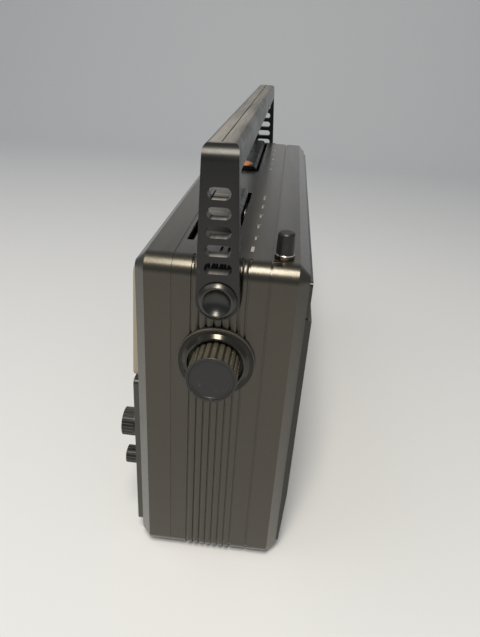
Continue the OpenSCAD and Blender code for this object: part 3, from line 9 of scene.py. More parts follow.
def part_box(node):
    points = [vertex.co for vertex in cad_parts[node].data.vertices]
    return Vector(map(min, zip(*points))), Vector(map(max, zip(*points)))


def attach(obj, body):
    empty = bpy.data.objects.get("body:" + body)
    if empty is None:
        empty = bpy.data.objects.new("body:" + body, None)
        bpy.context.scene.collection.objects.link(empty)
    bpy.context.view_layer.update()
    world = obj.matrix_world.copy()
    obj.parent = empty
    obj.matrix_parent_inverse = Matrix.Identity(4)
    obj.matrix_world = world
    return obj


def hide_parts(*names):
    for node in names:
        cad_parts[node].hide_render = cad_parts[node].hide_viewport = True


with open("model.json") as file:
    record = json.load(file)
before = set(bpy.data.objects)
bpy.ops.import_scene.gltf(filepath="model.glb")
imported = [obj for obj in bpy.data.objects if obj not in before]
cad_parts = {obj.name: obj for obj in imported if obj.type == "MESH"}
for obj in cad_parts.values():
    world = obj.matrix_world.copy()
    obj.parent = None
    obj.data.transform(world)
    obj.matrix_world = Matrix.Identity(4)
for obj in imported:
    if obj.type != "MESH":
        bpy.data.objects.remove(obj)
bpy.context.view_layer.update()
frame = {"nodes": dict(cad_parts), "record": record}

# The studio: a pale sheet that lies on the table and sweeps up behind the machine, soft light from
# above, and a camera a little above the machine's right-hand end.
camera_place = Vector((0.4023, 0.0255, 0.2901))
camera_right = Vector((-0.0972, 0.9933, 0.0620))
camera_back = Vector((0.8829, 0.0573, 0.4661)).normalized()
camera_up = camera_back.cross(camera_right).normalized()
camera_right = camera_up.cross(camera_back)
camera = bpy.data.objects.new("camera", bpy.data.cameras.new("camera"))
bpy.context.scene.collection.objects.link(camera)
camera.matrix_world = Matrix.Translation(camera_place) @ Matrix(
    (camera_right, camera_up, camera_back)).transposed().to_4x4()
camera.data.lens = 29.645
camera.data.sensor_width = 36
camera.data.clip_start = 0.01
bpy.context.scene.camera = camera
bpy.context.scene.view_settings.view_transform = "Standard"

sheet_near, sheet_bend, sheet_high, sheet_half = 2.6, -1.1, 2.4, 3
sweep_r, sweep_steps = 0.7, 16
sweep_profile = [(sheet_near, 0), (sheet_bend, 0)]
for i in range(1, sweep_steps + 1):
    a = math.pi / 2 * i / sweep_steps
    sweep_profile.append((sheet_bend - sweep_r * math.sin(a), sweep_r * (1 - math.cos(a))))
sweep_profile.append((sheet_bend - sweep_r, sheet_high))
sweep_mesh = bpy.data.meshes.new("sweep")
sweep_mesh.from_pydata(
    [(x, y, z) for x, z in sweep_profile for y in (-sheet_half, sheet_half)], [],
    [(2 * i, 2 * i + 1, 2 * i + 3, 2 * i + 2) for i in range(len(sweep_profile) - 1)])
sweep_mesh.shade_smooth()
sweep = bpy.data.objects.new("sweep", sweep_mesh)
bpy.context.scene.collection.objects.link(sweep)
sheet = bpy.data.materials.new("pale_sheet")
sheet.use_nodes = True
shader = sheet.node_tree.nodes["Principled BSDF"]
shader.inputs["Base Color"].default_value = (0.715, 0.73, 0.75, 1)
shader.inputs["Roughness"].default_value = 0.9
sweep_mesh.materials.append(sheet)

world = bpy.data.worlds.new("room")
bpy.context.scene.world = world
world.use_nodes = True
sky = world.node_tree.nodes["Background"]
sky.inputs["Color"].default_value = (0.93, 0.98, 1.05, 1)
sky.inputs["Strength"].default_value = 0.27
for name, place, aim, width, length, power, tint in [
        ("overhead", (0.20, -1.0, 1.35), (0.0, -0.1, 0.1), 1.2, 1.2, 3.5, (0.96, 0.98, 1.0)),
        ("key", (0.80, -0.06, 1.34), (0.17, 0.01, 0.20), 0.36, 0.75, 20, (1.0, 0.925, 0.80))]:
    lamp = bpy.data.objects.new(name, bpy.data.lights.new(name, "AREA"))
    bpy.context.scene.collection.objects.link(lamp)
    lamp.data.shape = "RECTANGLE"
    lamp.data.size = width
    lamp.data.size_y = length
    lamp.data.energy = power
    lamp.data.color = tint
    lamp.location = place
    lamp.rotation_euler = (Vector(aim) - Vector(place)).to_track_quat("-Z", "Y").to_euler()

# The case: front shell, centre frame with the ribbed ends, and rear shell. They are injection mouldings
# sprayed with a fine metallic bronze, pulled together by the long screws from the back.
body_of_node = {n: b for b, ns in frame["record"]["behaviour"]["bodies"].items() for n in ns}
weld, flush_play = 2e-6, 1e-5
flat_angle = math.radians(0.4)


def moulding(node, edge, material, steps=2, sharp=28, flush=None):
    """A copy of a CAD node with its edges eased by a mould's radius, in metres; it stands for the node.

    Points that stand out of a slanting face are brought flush with it: flush gives the least Y and Z, the
    greatest Y and the sum of Y and Z on the face."""
    mesh = frame["nodes"][node].data.copy()
    mesh.materials.clear()
    shape = bmesh.new()
    shape.from_mesh(mesh)
    if flush:
        low_y, low_z, high_y, slant = flush
        for point in shape.verts:
            over = point.co.y + point.co.z - slant
            if low_y < point.co.y < high_y and point.co.z > low_z and over > flush_play:
                point.co.z = slant - point.co.y
    bmesh.ops.remove_doubles(shape, verts=shape.verts, dist=weld)
    bmesh.ops.dissolve_degenerate(shape, dist=weld, edges=shape.edges)
    bmesh.ops.dissolve_limit(shape, angle_limit=flat_angle, verts=shape.verts, edges=shape.edges)
    shape.to_mesh(mesh)
    shape.free()
    if "custom_normal" in mesh.attributes:
        mesh.attributes.remove(mesh.attributes["custom_normal"])
    mesh.shade_smooth()
    mesh.set_sharp_from_angle(angle=math.radians(sharp))
    mesh.materials.append(material)
    piece = bpy.data.objects.new(node + "_moulded", mesh)
    bpy.context.scene.collection.objects.link(piece)
    ease = piece.modifiers.new("eased edges", "BEVEL")
    ease.width = edge
    ease.segments = steps
    ease.limit_method = "ANGLE"
    ease.angle_limit = math.radians(sharp)
    ease.harden_normals = True
    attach(piece, body_of_node[node])
    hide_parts(node)


def effect(name, takes, gives, normal=False):
    """An empty shader effect with named values in and out, and a normal out where it is asked for."""
    group = bpy.data.node_groups.new(name, "ShaderNodeTree")
    for label, value in takes.items():
        group.interface.new_socket(label, in_out="INPUT", socket_type="NodeSocketFloat").default_value = value
    for label in gives:
        group.interface.new_socket(label, in_out="OUTPUT", socket_type="NodeSocketFloat")
    if normal:
        group.interface.new_socket("Normal", in_out="OUTPUT", socket_type="NodeSocketVector")
    return group, group.nodes.new("NodeGroupInput"), group.nodes.new("NodeGroupOutput")


def grow(tree, kind, values=None, **settings):
    """A node with its settings and the values of its sockets; a value that is a socket is linked."""
    node = tree.nodes.new(kind)
    for key, value in settings.items():
        setattr(node, key, value)
    for key, value in (values or {}).items():
        if isinstance(value, bpy.types.NodeSocket):
            tree.links.new(value, node.inputs[key])
        else:
            node.inputs[key].default_value = value
    return node


def add(tree, kind, values=None, **settings):
    """A shader node of a kind, set and linked in the same way."""
    return grow(tree, "ShaderNode" + kind, values, **settings)


def maths(tree, operation, one, two, **settings):
    """The result of a sum on two values; each is a number or a socket."""
    return add(tree, "Math", {0: one, 1: two}, operation=operation, **settings).outputs[0]


def ranged(tree, value, before=(0, 1), after=(0, 1)):
    """A value carried from one range to another and kept inside it."""
    return add(tree, "MapRange", {"Value": value, "From Min": before[0], "From Max": before[1],
                                  "To Min": after[0], "To Max": after[1]}).outputs["Result"]


# Metal flakes in the paint: each cell of under half a millimetre has its own tone and lies at its own tilt.
flakes, given, given_out = effect(
    "metal_flakes", {"Size": 0.0003, "Contrast": 0.3, "Tilt": 0.3}, ["Tone"], normal=True)
spot = add(flakes, "TexCoord").outputs["Object"]
per_metre = maths(flakes, "DIVIDE", 1.0, given.outputs["Size"])
cells = add(flakes, "TexVoronoi", {"Vector": spot, "Scale": per_metre})
cloud = add(flakes, "TexNoise", {"Vector": spot, "Scale": 9.0, "Detail": 3.0})
grey = add(flakes, "SeparateColor", {"Color": cells.outputs["Color"]}).outputs["Red"]
spread = maths(flakes, "SUBTRACT", grey, 0.5)
spread = maths(flakes, "MULTIPLY", spread, given.outputs["Contrast"])
drift = maths(flakes, "SUBTRACT", cloud.outputs["Fac"], 0.5)
drift = maths(flakes, "MULTIPLY", drift, 0.25)
tone = maths(flakes, "ADD", spread, drift)
tone = maths(flakes, "ADD", tone, 0.5, use_clamp=True)
flakes.links.new(tone, given_out.inputs["Tone"])
mid_grey = (0.5, 0.5, 0.5)
tilt = add(flakes, "VectorMath", {0: cells.outputs["Color"], 1: mid_grey}, operation="SUBTRACT").outputs[0]
tilt = add(flakes, "VectorMath", {0: tilt, "Scale": given.outputs["Tilt"]}, operation="SCALE").outputs[0]
surface = add(flakes, "NewGeometry").outputs["Normal"]
tilt = add(flakes, "VectorMath", {0: surface, 1: tilt}, operation="ADD").outputs[0]
tilt = add(flakes, "VectorMath", {0: tilt}, operation="NORMALIZE").outputs[0]
flakes.links.new(tilt, given_out.inputs["Normal"])

# Handling and sheen: a pale film on faces that look up, partly settled dust and partly a painted sheen, and
# short rubs and nicks where hands and tables touch.
handling_and_sheen, given, given_out = effect("handling_and_sheen", {"Dust_and_sheen": 0.3, "Rubs": 0.3, "Low": 0.0}, ["Dust_and_sheen", "Rubs"])
spot = add(handling_and_sheen, "TexCoord").outputs["Object"]
facing = add(handling_and_sheen, "SeparateXYZ", {0: add(handling_and_sheen, "NewGeometry").outputs["Normal"]}).outputs["Z"]
upward = ranged(handling_and_sheen, facing, (0.93, 0.995))
wiped = add(handling_and_sheen, "Mapping", {"Vector": spot, "Scale": (0.12, 1.6, 1.0)}).outputs["Vector"]
dust_sheen_film = add(handling_and_sheen, "TexNoise", {"Vector": wiped, "Scale": 70.0, "Detail": 6.0, "Roughness": 0.65})
dust_sheen_film = ranged(handling_and_sheen, dust_sheen_film.outputs["Fac"], (0.2, 0.85))
dust_sheen_film = maths(handling_and_sheen, "MULTIPLY", dust_sheen_film, upward)
dust_sheen_film = maths(handling_and_sheen, "MULTIPLY", dust_sheen_film, given.outputs["Dust_and_sheen"])
handling_and_sheen.links.new(dust_sheen_film, given_out.inputs["Dust_and_sheen"])
streak = add(handling_and_sheen, "Mapping", {"Vector": spot, "Scale": (1.0, 1.0, 0.35), "Rotation": (0.5, 0.3, 0.2)})
nicks = add(handling_and_sheen, "TexNoise", {"Vector": streak.outputs["Vector"], "Scale": 520.0, "Detail": 2.0})
nicks = ranged(handling_and_sheen, nicks.outputs["Fac"], (0.66, 0.7))
where = add(handling_and_sheen, "TexNoise", {"Vector": spot, "Scale": 26.0, "Detail": 2.0})
where = ranged(handling_and_sheen, where.outputs["Fac"], (0.5, 0.66))
nicks = maths(handling_and_sheen, "MULTIPLY", nicks, where)
height = add(handling_and_sheen, "SeparateXYZ", {0: spot}).outputs["Z"]
lower = ranged(handling_and_sheen, height, (0.1, 0.02))
lower = maths(handling_and_sheen, "MULTIPLY", lower, given.outputs["Low"])
lower = maths(handling_and_sheen, "ADD", lower, given.outputs["Rubs"])
nicks = maths(handling_and_sheen, "MULTIPLY", nicks, lower, use_clamp=True)
handling_and_sheen.links.new(nicks, given_out.inputs["Rubs"])


def finish(name, colour, rough, metal=0.0, **plain):
    """A material with its constant values set on the shader; the caller adds what varies."""
    made = bpy.data.materials.new(name)
    made.use_nodes = True
    shader = made.node_tree.nodes["Principled BSDF"]
    shader.inputs["Base Color"].default_value = (*colour, 1)
    shader.inputs["Roughness"].default_value = rough
    shader.inputs["Metallic"].default_value = metal
    for key, value in plain.items():
        shader.inputs[key.replace("_", " ")].default_value = value
    return made, made.node_tree, shader


def blend_colour(tree, amount, one, two):
    """The mix of two colours by an amount; each is a colour or a socket."""
    one, two = [c if isinstance(c, bpy.types.NodeSocket) else (*c, 1) for c in (one, two)]
    return add(tree, "Mix", {0: amount, 6: one, 7: two}, data_type="RGBA").outputs[2]


def bronze_paint(name, dark, light, plate=None):
    """Sprayed metallic bronze with flakes, lacquer, low rubs and a pale film on upward faces, partly dust and
    partly painted sheen; near-black beyond a plate's Y.
    """
    made, tree, shader = finish(name, dark, 0.4, 0.9, Coat_Weight=1.0, Coat_Roughness=0.26)
    fleck = add(tree, "Group", {"Size": 0.0003, "Contrast": 0.5, "Tilt": 0.11}, node_tree=flakes)
    used = add(tree, "Group", {"Dust_and_sheen": 0.32, "Rubs": 0.04, "Low": 0.5}, node_tree=handling_and_sheen)
    colour = blend_colour(tree, fleck.outputs["Tone"], dark, light)
    if plate is not None:
        depth = add(tree, "SeparateXYZ", {0: add(tree, "TexCoord").outputs["Object"]}).outputs["Y"]
        proud = ranged(tree, depth, (plate, plate + 0.0002))
        colour = blend_colour(tree, proud, colour, tuple(0.3 * c for c in dark))
    # On faces that look up the pale film is partly dust and partly a painted sheen that greys the tops.
    colour = blend_colour(tree, used.outputs["Dust_and_sheen"], colour, (0.42, 0.40, 0.36))
    colour = blend_colour(tree, used.outputs["Rubs"], colour, (0.022, 0.02, 0.016))
    tree.links.new(colour, shader.inputs["Base Color"])
    rough = ranged(tree, fleck.outputs["Tone"], after=(0.27, 0.37))
    rough = maths(tree, "ADD", used.outputs["Dust_and_sheen"], rough)
    tree.links.new(rough, shader.inputs["Roughness"])
    tree.links.new(fleck.outputs["Normal"], shader.inputs["Normal"])
    return made


shell_paint = bronze_paint("shell_bronze", (0.034, 0.029, 0.0185), (0.056, 0.0485, 0.0325))
frame_paint = bronze_paint("frame_bronze", (0.032, 0.0275, 0.0178), (0.053, 0.046, 0.031))
back_paint = bronze_paint("back_bronze", (0.034, 0.029, 0.0185), (0.056, 0.0485, 0.0325), plate=0.0430)
rear_slope = (0.0380, 0.1935, 0.0429, 0.2358)
moulding("front_shell", 0.0005, shell_paint)
moulding("centre_frame", 0.00028, frame_paint)
moulding("rear_shell", 0.0005, back_paint, flush=rear_slope)


def plain_mesh(thing):
    """An object's shape as a plain mesh, with its modifiers worked out."""
    bpy.context.view_layer.update()
    return bpy.data.meshes.new_from_object(thing.evaluated_get(bpy.context.evaluated_depsgraph_get()))


def riding(name, mesh, body):
    """A new piece with a mesh, which rides on a body and has a material slot."""
    piece = bpy.data.objects.new(name, mesh)
    bpy.context.scene.collection.objects.link(piece)
    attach(piece, body)
    return piece


def grown(name, tree, sizes, body, path=()):
    """Runs a Geometry Nodes tree with its sizes, along a path if there is one, and keeps the plain mesh."""
    line = bpy.data.meshes.new(name + "_carrier")
    line.from_pydata(path, [(i, i + 1) for i in range(len(path) - 1)], [])
    carrier = bpy.data.objects.new(name + "_carrier", line)
    bpy.context.scene.collection.objects.link(carrier)
    growth = carrier.modifiers.new("growth", "NODES")
    growth.node_group = tree
    for item in tree.interface.items_tree:
        if item.item_type == "SOCKET" and item.in_out == "INPUT" and item.name in sizes:
            growth[item.identifier] = sizes[item.name]
    mesh = plain_mesh(carrier)
    carrier.modifiers.remove(growth)
    bpy.data.objects.remove(carrier)
    mesh.shade_smooth()
    mesh.set_sharp_from_angle(angle=math.radians(35))
    riding(name, mesh, body)


def growth_tree(name, takes):
    """An empty Geometry Nodes tree with named inputs; gives the tree, its inputs and its output."""
    tree = bpy.data.node_groups.new(name, "GeometryNodeTree")
    tree.interface.new_socket("Geometry", in_out="OUTPUT", socket_type="NodeSocketGeometry")
    tree.interface.new_socket("Path", in_out="INPUT", socket_type="NodeSocketGeometry")
    for label, (kind, value) in takes.items():
        socket = tree.interface.new_socket(label, in_out="INPUT", socket_type="NodeSocket" + kind)
        if value is not None:
            socket.default_value = value
    return tree, tree.nodes.new("NodeGroupInput"), tree.nodes.new("NodeGroupOutput")


def coated(tree, geometry, given, given_out):
    """Ends a tree: its geometry goes out with the material that was given."""
    coat = grow(tree, "GeometryNodeSetMaterial", {
        "Geometry": geometry, "Material": given.outputs["Material"]})
    tree.links.new(coat.outputs["Geometry"], given_out.inputs["Geometry"])


# The ribs of the ends are rounded: a low oval bar follows the end's outline on each land between two grooves.
ribs, given, given_out = growth_tree("rib_bars", {
    "Count": ("Int", 7), "Pitch": ("Vector", (0, 0.004, 0)), "First": ("Vector", (0, 0, 0)),
    "Oval": ("Vector", (0.001, 0.0004, 1)), "Material": ("Material", None)})
spine = grow(ribs, "GeometryNodeMeshToCurve", {"Mesh": given.outputs["Path"]})
spine = grow(ribs, "GeometryNodeSetCurveNormal", {
    "Curve": spine.outputs["Curve"], "Normal": (0, 1, 0)}, mode="FREE")
circle = grow(ribs, "GeometryNodeCurvePrimitiveCircle", {"Resolution": 16, "Radius": 1.0})
oval = grow(ribs, "GeometryNodeTransform", {
    "Geometry": circle.outputs["Curve"], "Scale": given.outputs["Oval"]})
rib = grow(ribs, "GeometryNodeCurveToMesh", {
    "Curve": spine.outputs["Curve"], "Profile Curve": oval.outputs["Geometry"], "Fill Caps": True})
lands = grow(ribs, "GeometryNodeMeshLine", {
    "Count": given.outputs["Count"], "Start Location": given.outputs["First"],
    "Offset": given.outputs["Pitch"]})
row = grow(ribs, "GeometryNodeInstanceOnPoints", {
    "Points": lands.outputs["Mesh"], "Instance": rib.outputs["Mesh"]})
whole = grow(ribs, "GeometryNodeRealizeInstances", {"Geometry": row.outputs["Instances"]})
coated(ribs, whole.outputs["Geometry"], given, given_out)
end_x, end_low, end_high = 0.175, 0.0025, 0.1985
end_low_r, end_high_r = 0.0065, 0.009
rib_count, rib_pitch = 7, 0.00386
rib_oval = (0.0015, 0.0004, 1)
turn_steps = 12
for side, way in (("right", 1), ("left", -1)):
    outline = []
    for r, z, start in ((end_low_r, end_low + end_low_r, -90), (end_high_r, end_high - end_high_r, 0)):
        for i in range(turn_steps + 1):
            a = math.radians(start + 90 * i / turn_steps)
            outline.append((way * (end_x - r + r * math.cos(a)), 0, z + r * math.sin(a)))
    grown("end_ribs_" + side, ribs, {
        "Count": rib_count, "Pitch": (0, rib_pitch, 0), "First": (0, -rib_pitch * (rib_count - 1) / 2, 0),
        "Oval": rib_oval, "Material": frame_paint}, "case", outline)

# The feet are four turned buttons of black rubber, pressed into the base. Rubs have left them grey in
# places.


def colour_by(tree, shader, amount, one, two):
    """Gives a material the mix of two colours by an amount."""
    tree.links.new(blend_colour(tree, amount, one, two), shader.inputs["Base Color"])


rubber, tree, shader = finish("foot_rubber", (0.016, 0.016, 0.016), 0.75)
used = add(tree, "Group", {"Rubs": 0.6}, node_tree=handling_and_sheen)
colour_by(tree, shader, used.outputs["Rubs"], (0.016, 0.016, 0.016), (0.11, 0.11, 0.10))
moulding("feet", 0.0003, rubber)

# The lower front panel is a bronze moulding with rows of louvres in front of the loudspeaker. A slat leans
# back in each slot, moulded in one with the panel.
panel_paint = bronze_paint("panel_bronze", (0.032, 0.029, 0.022), (0.052, 0.047, 0.036))
moulding("front_panel", 0.00035, panel_paint)
louvre_columns, louvre_rows = 6, 11
louvre_pitch = (0.0445, 0.00798)
louvre_first = (-0.140, 0.0191)
louvre_w = louvre_pitch[0] * (louvre_columns - 1)
louvre_h = louvre_pitch[1] * (louvre_rows - 1)
slat_size = (0.0398, 0.0007, 0.0038)
slat_lean, slat_y = -0.72, -0.0452

# A slat repeated over a grid of columns and rows, leaning back in its slot.
slats, given, given_out = growth_tree("louvre_slats", {
    "Columns": ("Int", 2), "Rows": ("Int", 2), "Width": ("Float", 0.1), "Height": ("Float", 0.1),
    "Slat": ("Vector", (0.04, 0.001, 0.004)), "Lean": ("Float", 0.7), "Place": ("Vector", (0, 0, 0)),
    "Material": ("Material", None)})
grid = grow(slats, "GeometryNodeMeshGrid", {
    "Size X": given.outputs["Width"], "Size Y": given.outputs["Height"],
    "Vertices X": given.outputs["Columns"], "Vertices Y": given.outputs["Rows"]})
upright = grow(slats, "GeometryNodeTransform", {
    "Geometry": grid.outputs["Mesh"], "Translation": given.outputs["Place"], "Rotation": (math.pi / 2, 0, 0)})
slat = grow(slats, "GeometryNodeMeshCube", {"Size": given.outputs["Slat"]})
lean = grow(slats, "ShaderNodeCombineXYZ", {"X": given.outputs["Lean"]})
rows = grow(slats, "GeometryNodeInstanceOnPoints", {
    "Points": upright.outputs["Geometry"], "Instance": slat.outputs["Mesh"],
    "Rotation": lean.outputs["Vector"]})
whole = grow(slats, "GeometryNodeRealizeInstances", {"Geometry": rows.outputs["Instances"]})
coated(slats, whole.outputs["Geometry"], given, given_out)
grown("louvre_slats", slats, {
    "Columns": louvre_columns, "Rows": louvre_rows, "Width": louvre_w, "Height": louvre_h,
    "Slat": slat_size, "Lean": slat_lean,
    "Place": (louvre_first[0] + louvre_w / 2, slat_y, louvre_first[1] + louvre_h / 2),
    "Material": panel_paint}, "case")

# The loudspeaker sits behind the panel: a pressed steel basket and a black paper cone. They show through
# the louvres.


def noise(tree, scale, detail=2.0):
    """A cloud of a scale over the object's own coordinates."""
    spot = add(tree, "TexCoord").outputs["Object"]
    return add(tree, "TexNoise", {"Vector": spot, "Scale": scale, "Detail": detail}).outputs["Fac"]


def drawn_noise(tree, scale, detail=2.0):
    """A cloud with its own scale along each axis, for grain that runs one way."""
    spot = add(tree, "Mapping", {"Vector": add(tree, "TexCoord").outputs["Object"], "Scale": scale})
    cloud = add(tree, "TexNoise", {"Vector": spot.outputs["Vector"], "Scale": 1.0, "Detail": detail})
    return cloud.outputs["Fac"]


steel, tree, shader = finish("plated_steel", (0.55, 0.55, 0.54), 0.32, 1.0)
grain = drawn_noise(tree, (30.0, 900.0, 900.0), 3.0)
tree.links.new(ranged(tree, grain, after=(0.22, 0.45)), shader.inputs["Roughness"])
colour_by(tree, shader, grain, (0.46, 0.46, 0.45), (0.62, 0.62, 0.61))
cone_paper, tree, shader = finish("cone_paper", (0.03, 0.028, 0.025), 0.9)
fibres = noise(tree, 1400.0, 4.0)
colour_by(tree, shader, fibres, (0.018, 0.017, 0.016), (0.06, 0.056, 0.05))
bump = add(tree, "Bump", {"Strength": 0.4, "Distance": 0.0002, "Height": fibres})
tree.links.new(bump.outputs["Normal"], shader.inputs["Normal"])


def dress(material, *nodes):
    """Gives CAD nodes that stay as they are a better material."""
    for node in nodes:
        for place in frame["nodes"][node].material_slots:
            place.material = material


dress(steel, "speaker_basket")
dress(cone_paper, "speaker_cone")

# The dial: a cream frame cemented round a clear window, over a dark card with printed numbers and
# lines. The red pointer runs between card and window and is drawn along by the dial cord.
dial_near, dial_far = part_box("dial_window")
dial_low, dial_high = (dial_near.x, dial_near.z), (dial_far.x, dial_far.z)
dial_front, dial_rear = dial_near.y, dial_far.y
dial_mid = (dial_near.z + dial_far.z) / 2
dial_rake = 0.002
dial_rim = 0.006
card_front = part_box("dial_scale")[0].y
print_thick, print_lift, print_weld = 0.00004, 0.00002, 1e-7


def rounded(low, high, r, steps=6):
    """Outline of a rectangle with round corners, from its low and high corners."""
    points = []
    for cx, cz, start in ((high[0] - r, high[1] - r, 0), (low[0] + r, high[1] - r, 90),
                          (low[0] + r, low[1] + r, 180), (high[0] - r, low[1] + r, 270)):
        for i in range(steps + 1):
            a = math.radians(start + 90 * i / steps)
            points.append((cx + r * math.cos(a), cz + r * math.sin(a)))
    return points


def inset(low, high, d):
    """The corners of a rectangle drawn in by a margin."""
    return (low[0] + d, low[1] + d), (high[0] - d, high[1] - d)


def lofted(name, loops, closed, material, body):
    """A skin through loops of equal length: a ring if closed, otherwise a plate capped at both ends."""
    shape = bmesh.new()
    rows = [[shape.verts.new(p) for p in loop] for loop in loops]
    count = len(rows)
    for i in range(count if closed else count - 1):
        one, two = rows[i], rows[(i + 1) % count]
        for k in range(len(one)):
            shape.faces.new((one[k - 1], one[k], two[k], two[k - 1]))
    if not closed:
        shape.faces.new(rows[0])
        shape.faces.new(rows[-1])
    bmesh.ops.recalc_face_normals(shape, faces=shape.faces)
    mesh = bpy.data.meshes.new(name)
    shape.to_mesh(mesh)
    shape.free()
    mesh.shade_smooth()
    mesh.set_sharp_from_angle(angle=math.radians(40))
    mesh.materials.append(material)
    return riding(name, mesh, body)


def front_loop(low, high, r, y):
    """A rounded outline in the plane of the front."""
    return [(x, y, z) for x, z in rounded(low, high, r)]


def dial_loop(low, high, r, y):
    """A rounded outline in the front of the dial, which leans back from its foot to its top."""
    lean = dial_rake / (dial_high[1] - dial_low[1])
    return [(x, y + lean * (z - dial_low[1]), z) for x, z in rounded(low, high, r)]


cream, tree, shader = finish("cream_plastic", (0.32, 0.29, 0.215), 0.34)
used = add(tree, "Group", {"Dust_and_sheen": 0.25, "Rubs": 0.25}, node_tree=handling_and_sheen)
yellowed = noise(tree, 35.0, 3.0)
colour = blend_colour(tree, yellowed, (0.345, 0.315, 0.235), (0.29, 0.255, 0.178))
colour_by(tree, shader, used.outputs["Rubs"], colour, (0.30, 0.25, 0.16))
clear, tree, shader = finish("clear_plastic", (0.97, 0.96, 0.92), 0.05, IOR=1.49, Transmission_Weight=1.0)
scratch = noise(tree, 240.0, 5.0)
tree.links.new(ranged(tree, scratch, (0.4, 0.75), (0.02, 0.14)), shader.inputs["Roughness"])

outer = (dial_low, dial_high)
soft = 0.0009
inner = inset(*outer, dial_rim)
dial_frame = lofted("dial_frame", [
    front_loop(*outer, 0.003, dial_rear), dial_loop(*outer, 0.003, dial_front + soft),
    dial_loop(*inset(*outer, soft * 0.3), 0.003, dial_front + soft * 0.3),
    dial_loop(*inset(*outer, soft), 0.0028, dial_front),
    dial_loop(*inset(*outer, dial_rim - soft * 2), 0.0025, dial_front),
    dial_loop(*inner, 0.002, dial_front + soft), front_loop(*inner, 0.002, dial_rear)],
    True, cream, "case")
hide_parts("dial_window")
pane_play, pane_front, pane_chamfer = 0.00005, dial_front + 0.0012, 0.0005
pane_edge = inset(*inner, pane_play)
lofted("dial_pane", [
    front_loop(*pane_edge, 0.002, dial_rear), dial_loop(*pane_edge, 0.002, pane_front + pane_chamfer),
    dial_loop(*inset(*pane_edge, pane_chamfer), 0.0018, pane_front)], False, clear, "case")


def mottled(name, colour, one, two, scale, detail, rough, metal=0.0, **plain):
    """A material whose colour wanders between two over a cloud of a scale."""
    made, tree, shader = finish(name, colour, rough, metal, **plain)
    colour_by(tree, shader, noise(tree, scale, detail), one, two)
    return made


card = mottled("dial_card", (0.012, 0.011, 0.010), (0.009, 0.0085, 0.008), (0.018, 0.016, 0.014), 900.0, 2.0,
               0.55)
dress(card, "dial_scale")


def ink(name, colour):
    """Screen-printed ink, worn thin in places."""
    made, tree, shader = finish(name, colour, 0.6)
    thin = noise(tree, 1300.0, 3.0)
    worn = ranged(tree, thin, (0.3, 0.6))
    colour_by(tree, shader, worn, tuple(0.55 * c for c in colour), colour)
    return made


def printed(name, marks, turn, material, body):
    """Printed figures and shapes in one mesh: each mark is (x, y, figures or outline, height)."""
    shape = bmesh.new()
    for x, y, mark, high in marks:
        if isinstance(mark, str):
            words = bpy.data.curves.new(name + "_figure", "FONT")
            words.body = mark
            words.size = high
            words.align_x = "CENTER"
            words.align_y = "CENTER"
            words.extrude = print_thick / 2
            holder = bpy.data.objects.new(name + "_figure", words)
            bpy.context.scene.collection.objects.link(holder)
            flat = plain_mesh(holder)
            flat.transform(Matrix.Translation((x, y, print_thick / 2)))
            shape.from_mesh(flat)
            bpy.data.objects.remove(holder)
            bpy.data.meshes.remove(flat)
        else:
            low = [shape.verts.new((x + px, y + py, 0)) for px, py in mark]
            top = [shape.verts.new((x + px, y + py, print_thick)) for px, py in mark]
            shape.faces.new(low[::-1])
            shape.faces.new(top)
            for k in range(len(low)):
                shape.faces.new((low[k - 1], low[k], top[k], top[k - 1]))
    bmesh.ops.remove_doubles(shape, verts=shape.verts, dist=print_weld)
    mesh = bpy.data.meshes.new(name)
    shape.to_mesh(mesh)
    shape.free()
    mesh.transform(turn)
    mesh.materials.append(material)
    riding(name, mesh, body)


def on_front(y):
    """Places marks drawn in X and Y on a face of the front at a depth."""
    return Matrix.Translation((0, y - print_lift, 0)) @ Matrix.Rotation(math.pi / 2, 4, "X")


def bar(w, h):
    """Outline of a small printed bar about its middle."""
    return [(-w / 2, -h / 2), (w / 2, -h / 2), (w / 2, h / 2), (-w / 2, h / 2)]


on_card = on_front(card_front)
scale_low, scale_long = 0.011, 0.088
figure_h, small_figure_h = 0.0042, 0.003
mark_drop, tick_drop, line_drop, log_drop = 0.0036, 0.0044, 0.0053, 0.0230
card_ticks, card_steps = 40, 10
card_rows = [(dial_mid + 0.0067, ["54", "60", "70", "80", "100", "120", "140", "160"]),
             (dial_mid - 0.0038, ["2.5", "3", "4", "5", "6", "7", "8"]),
             (dial_mid - 0.0143, ["88", "92", "96", "100", "104", "108"])]
marks, lines = [], []
for z, figures in card_rows:
    for i, figure in enumerate(figures):
        x = scale_low + scale_long * i / (len(figures) - 1)
        marks.append((x, z, figure, figure_h))
        marks.append((x, z - mark_drop, bar(0.0004, 0.0018), 0))
    for i in range(card_ticks + 1):
        x = scale_low + scale_long * i / card_ticks
        lines.append((x, z - tick_drop, bar(0.00025, 0.0012 if i % 5 else 0.0022), 0))
    lines.append((scale_low + scale_long / 2, z - line_drop, bar(scale_long + 0.006, 0.0003), 0))
for i in range(card_steps + 1):
    lines.append((scale_low + scale_long * i / card_steps, dial_mid - log_drop, str(i), small_figure_h))
printed("dial_figures", marks, on_card, ink("cream_ink", (0.72, 0.66, 0.48)), "case")
printed("dial_lines", lines, on_card, ink("amber_ink", (0.60, 0.30, 0.06)), "case")
stripe_low = dial_mid - 0.0178
stripes = []
for x, pitch, wide, thin, count in ((0.131, 0.0036, 0.046, 0.0006, 9), (-0.0065, 0.0048, 0.016, 0.0005, 7)):
    stripes += [(x, stripe_low + pitch * i, bar(wide, thin), 0) for i in range(count)]
printed("dial_stripes", stripes, on_card, ink("grey_ink", (0.18, 0.17, 0.15)), "case")
red = mottled("pointer_red", (0.55, 0.05, 0.02), (0.50, 0.04, 0.018), (0.62, 0.07, 0.03), 500.0, 2.0, 0.35)
moulding("dial_pointer", 0.00015, red)

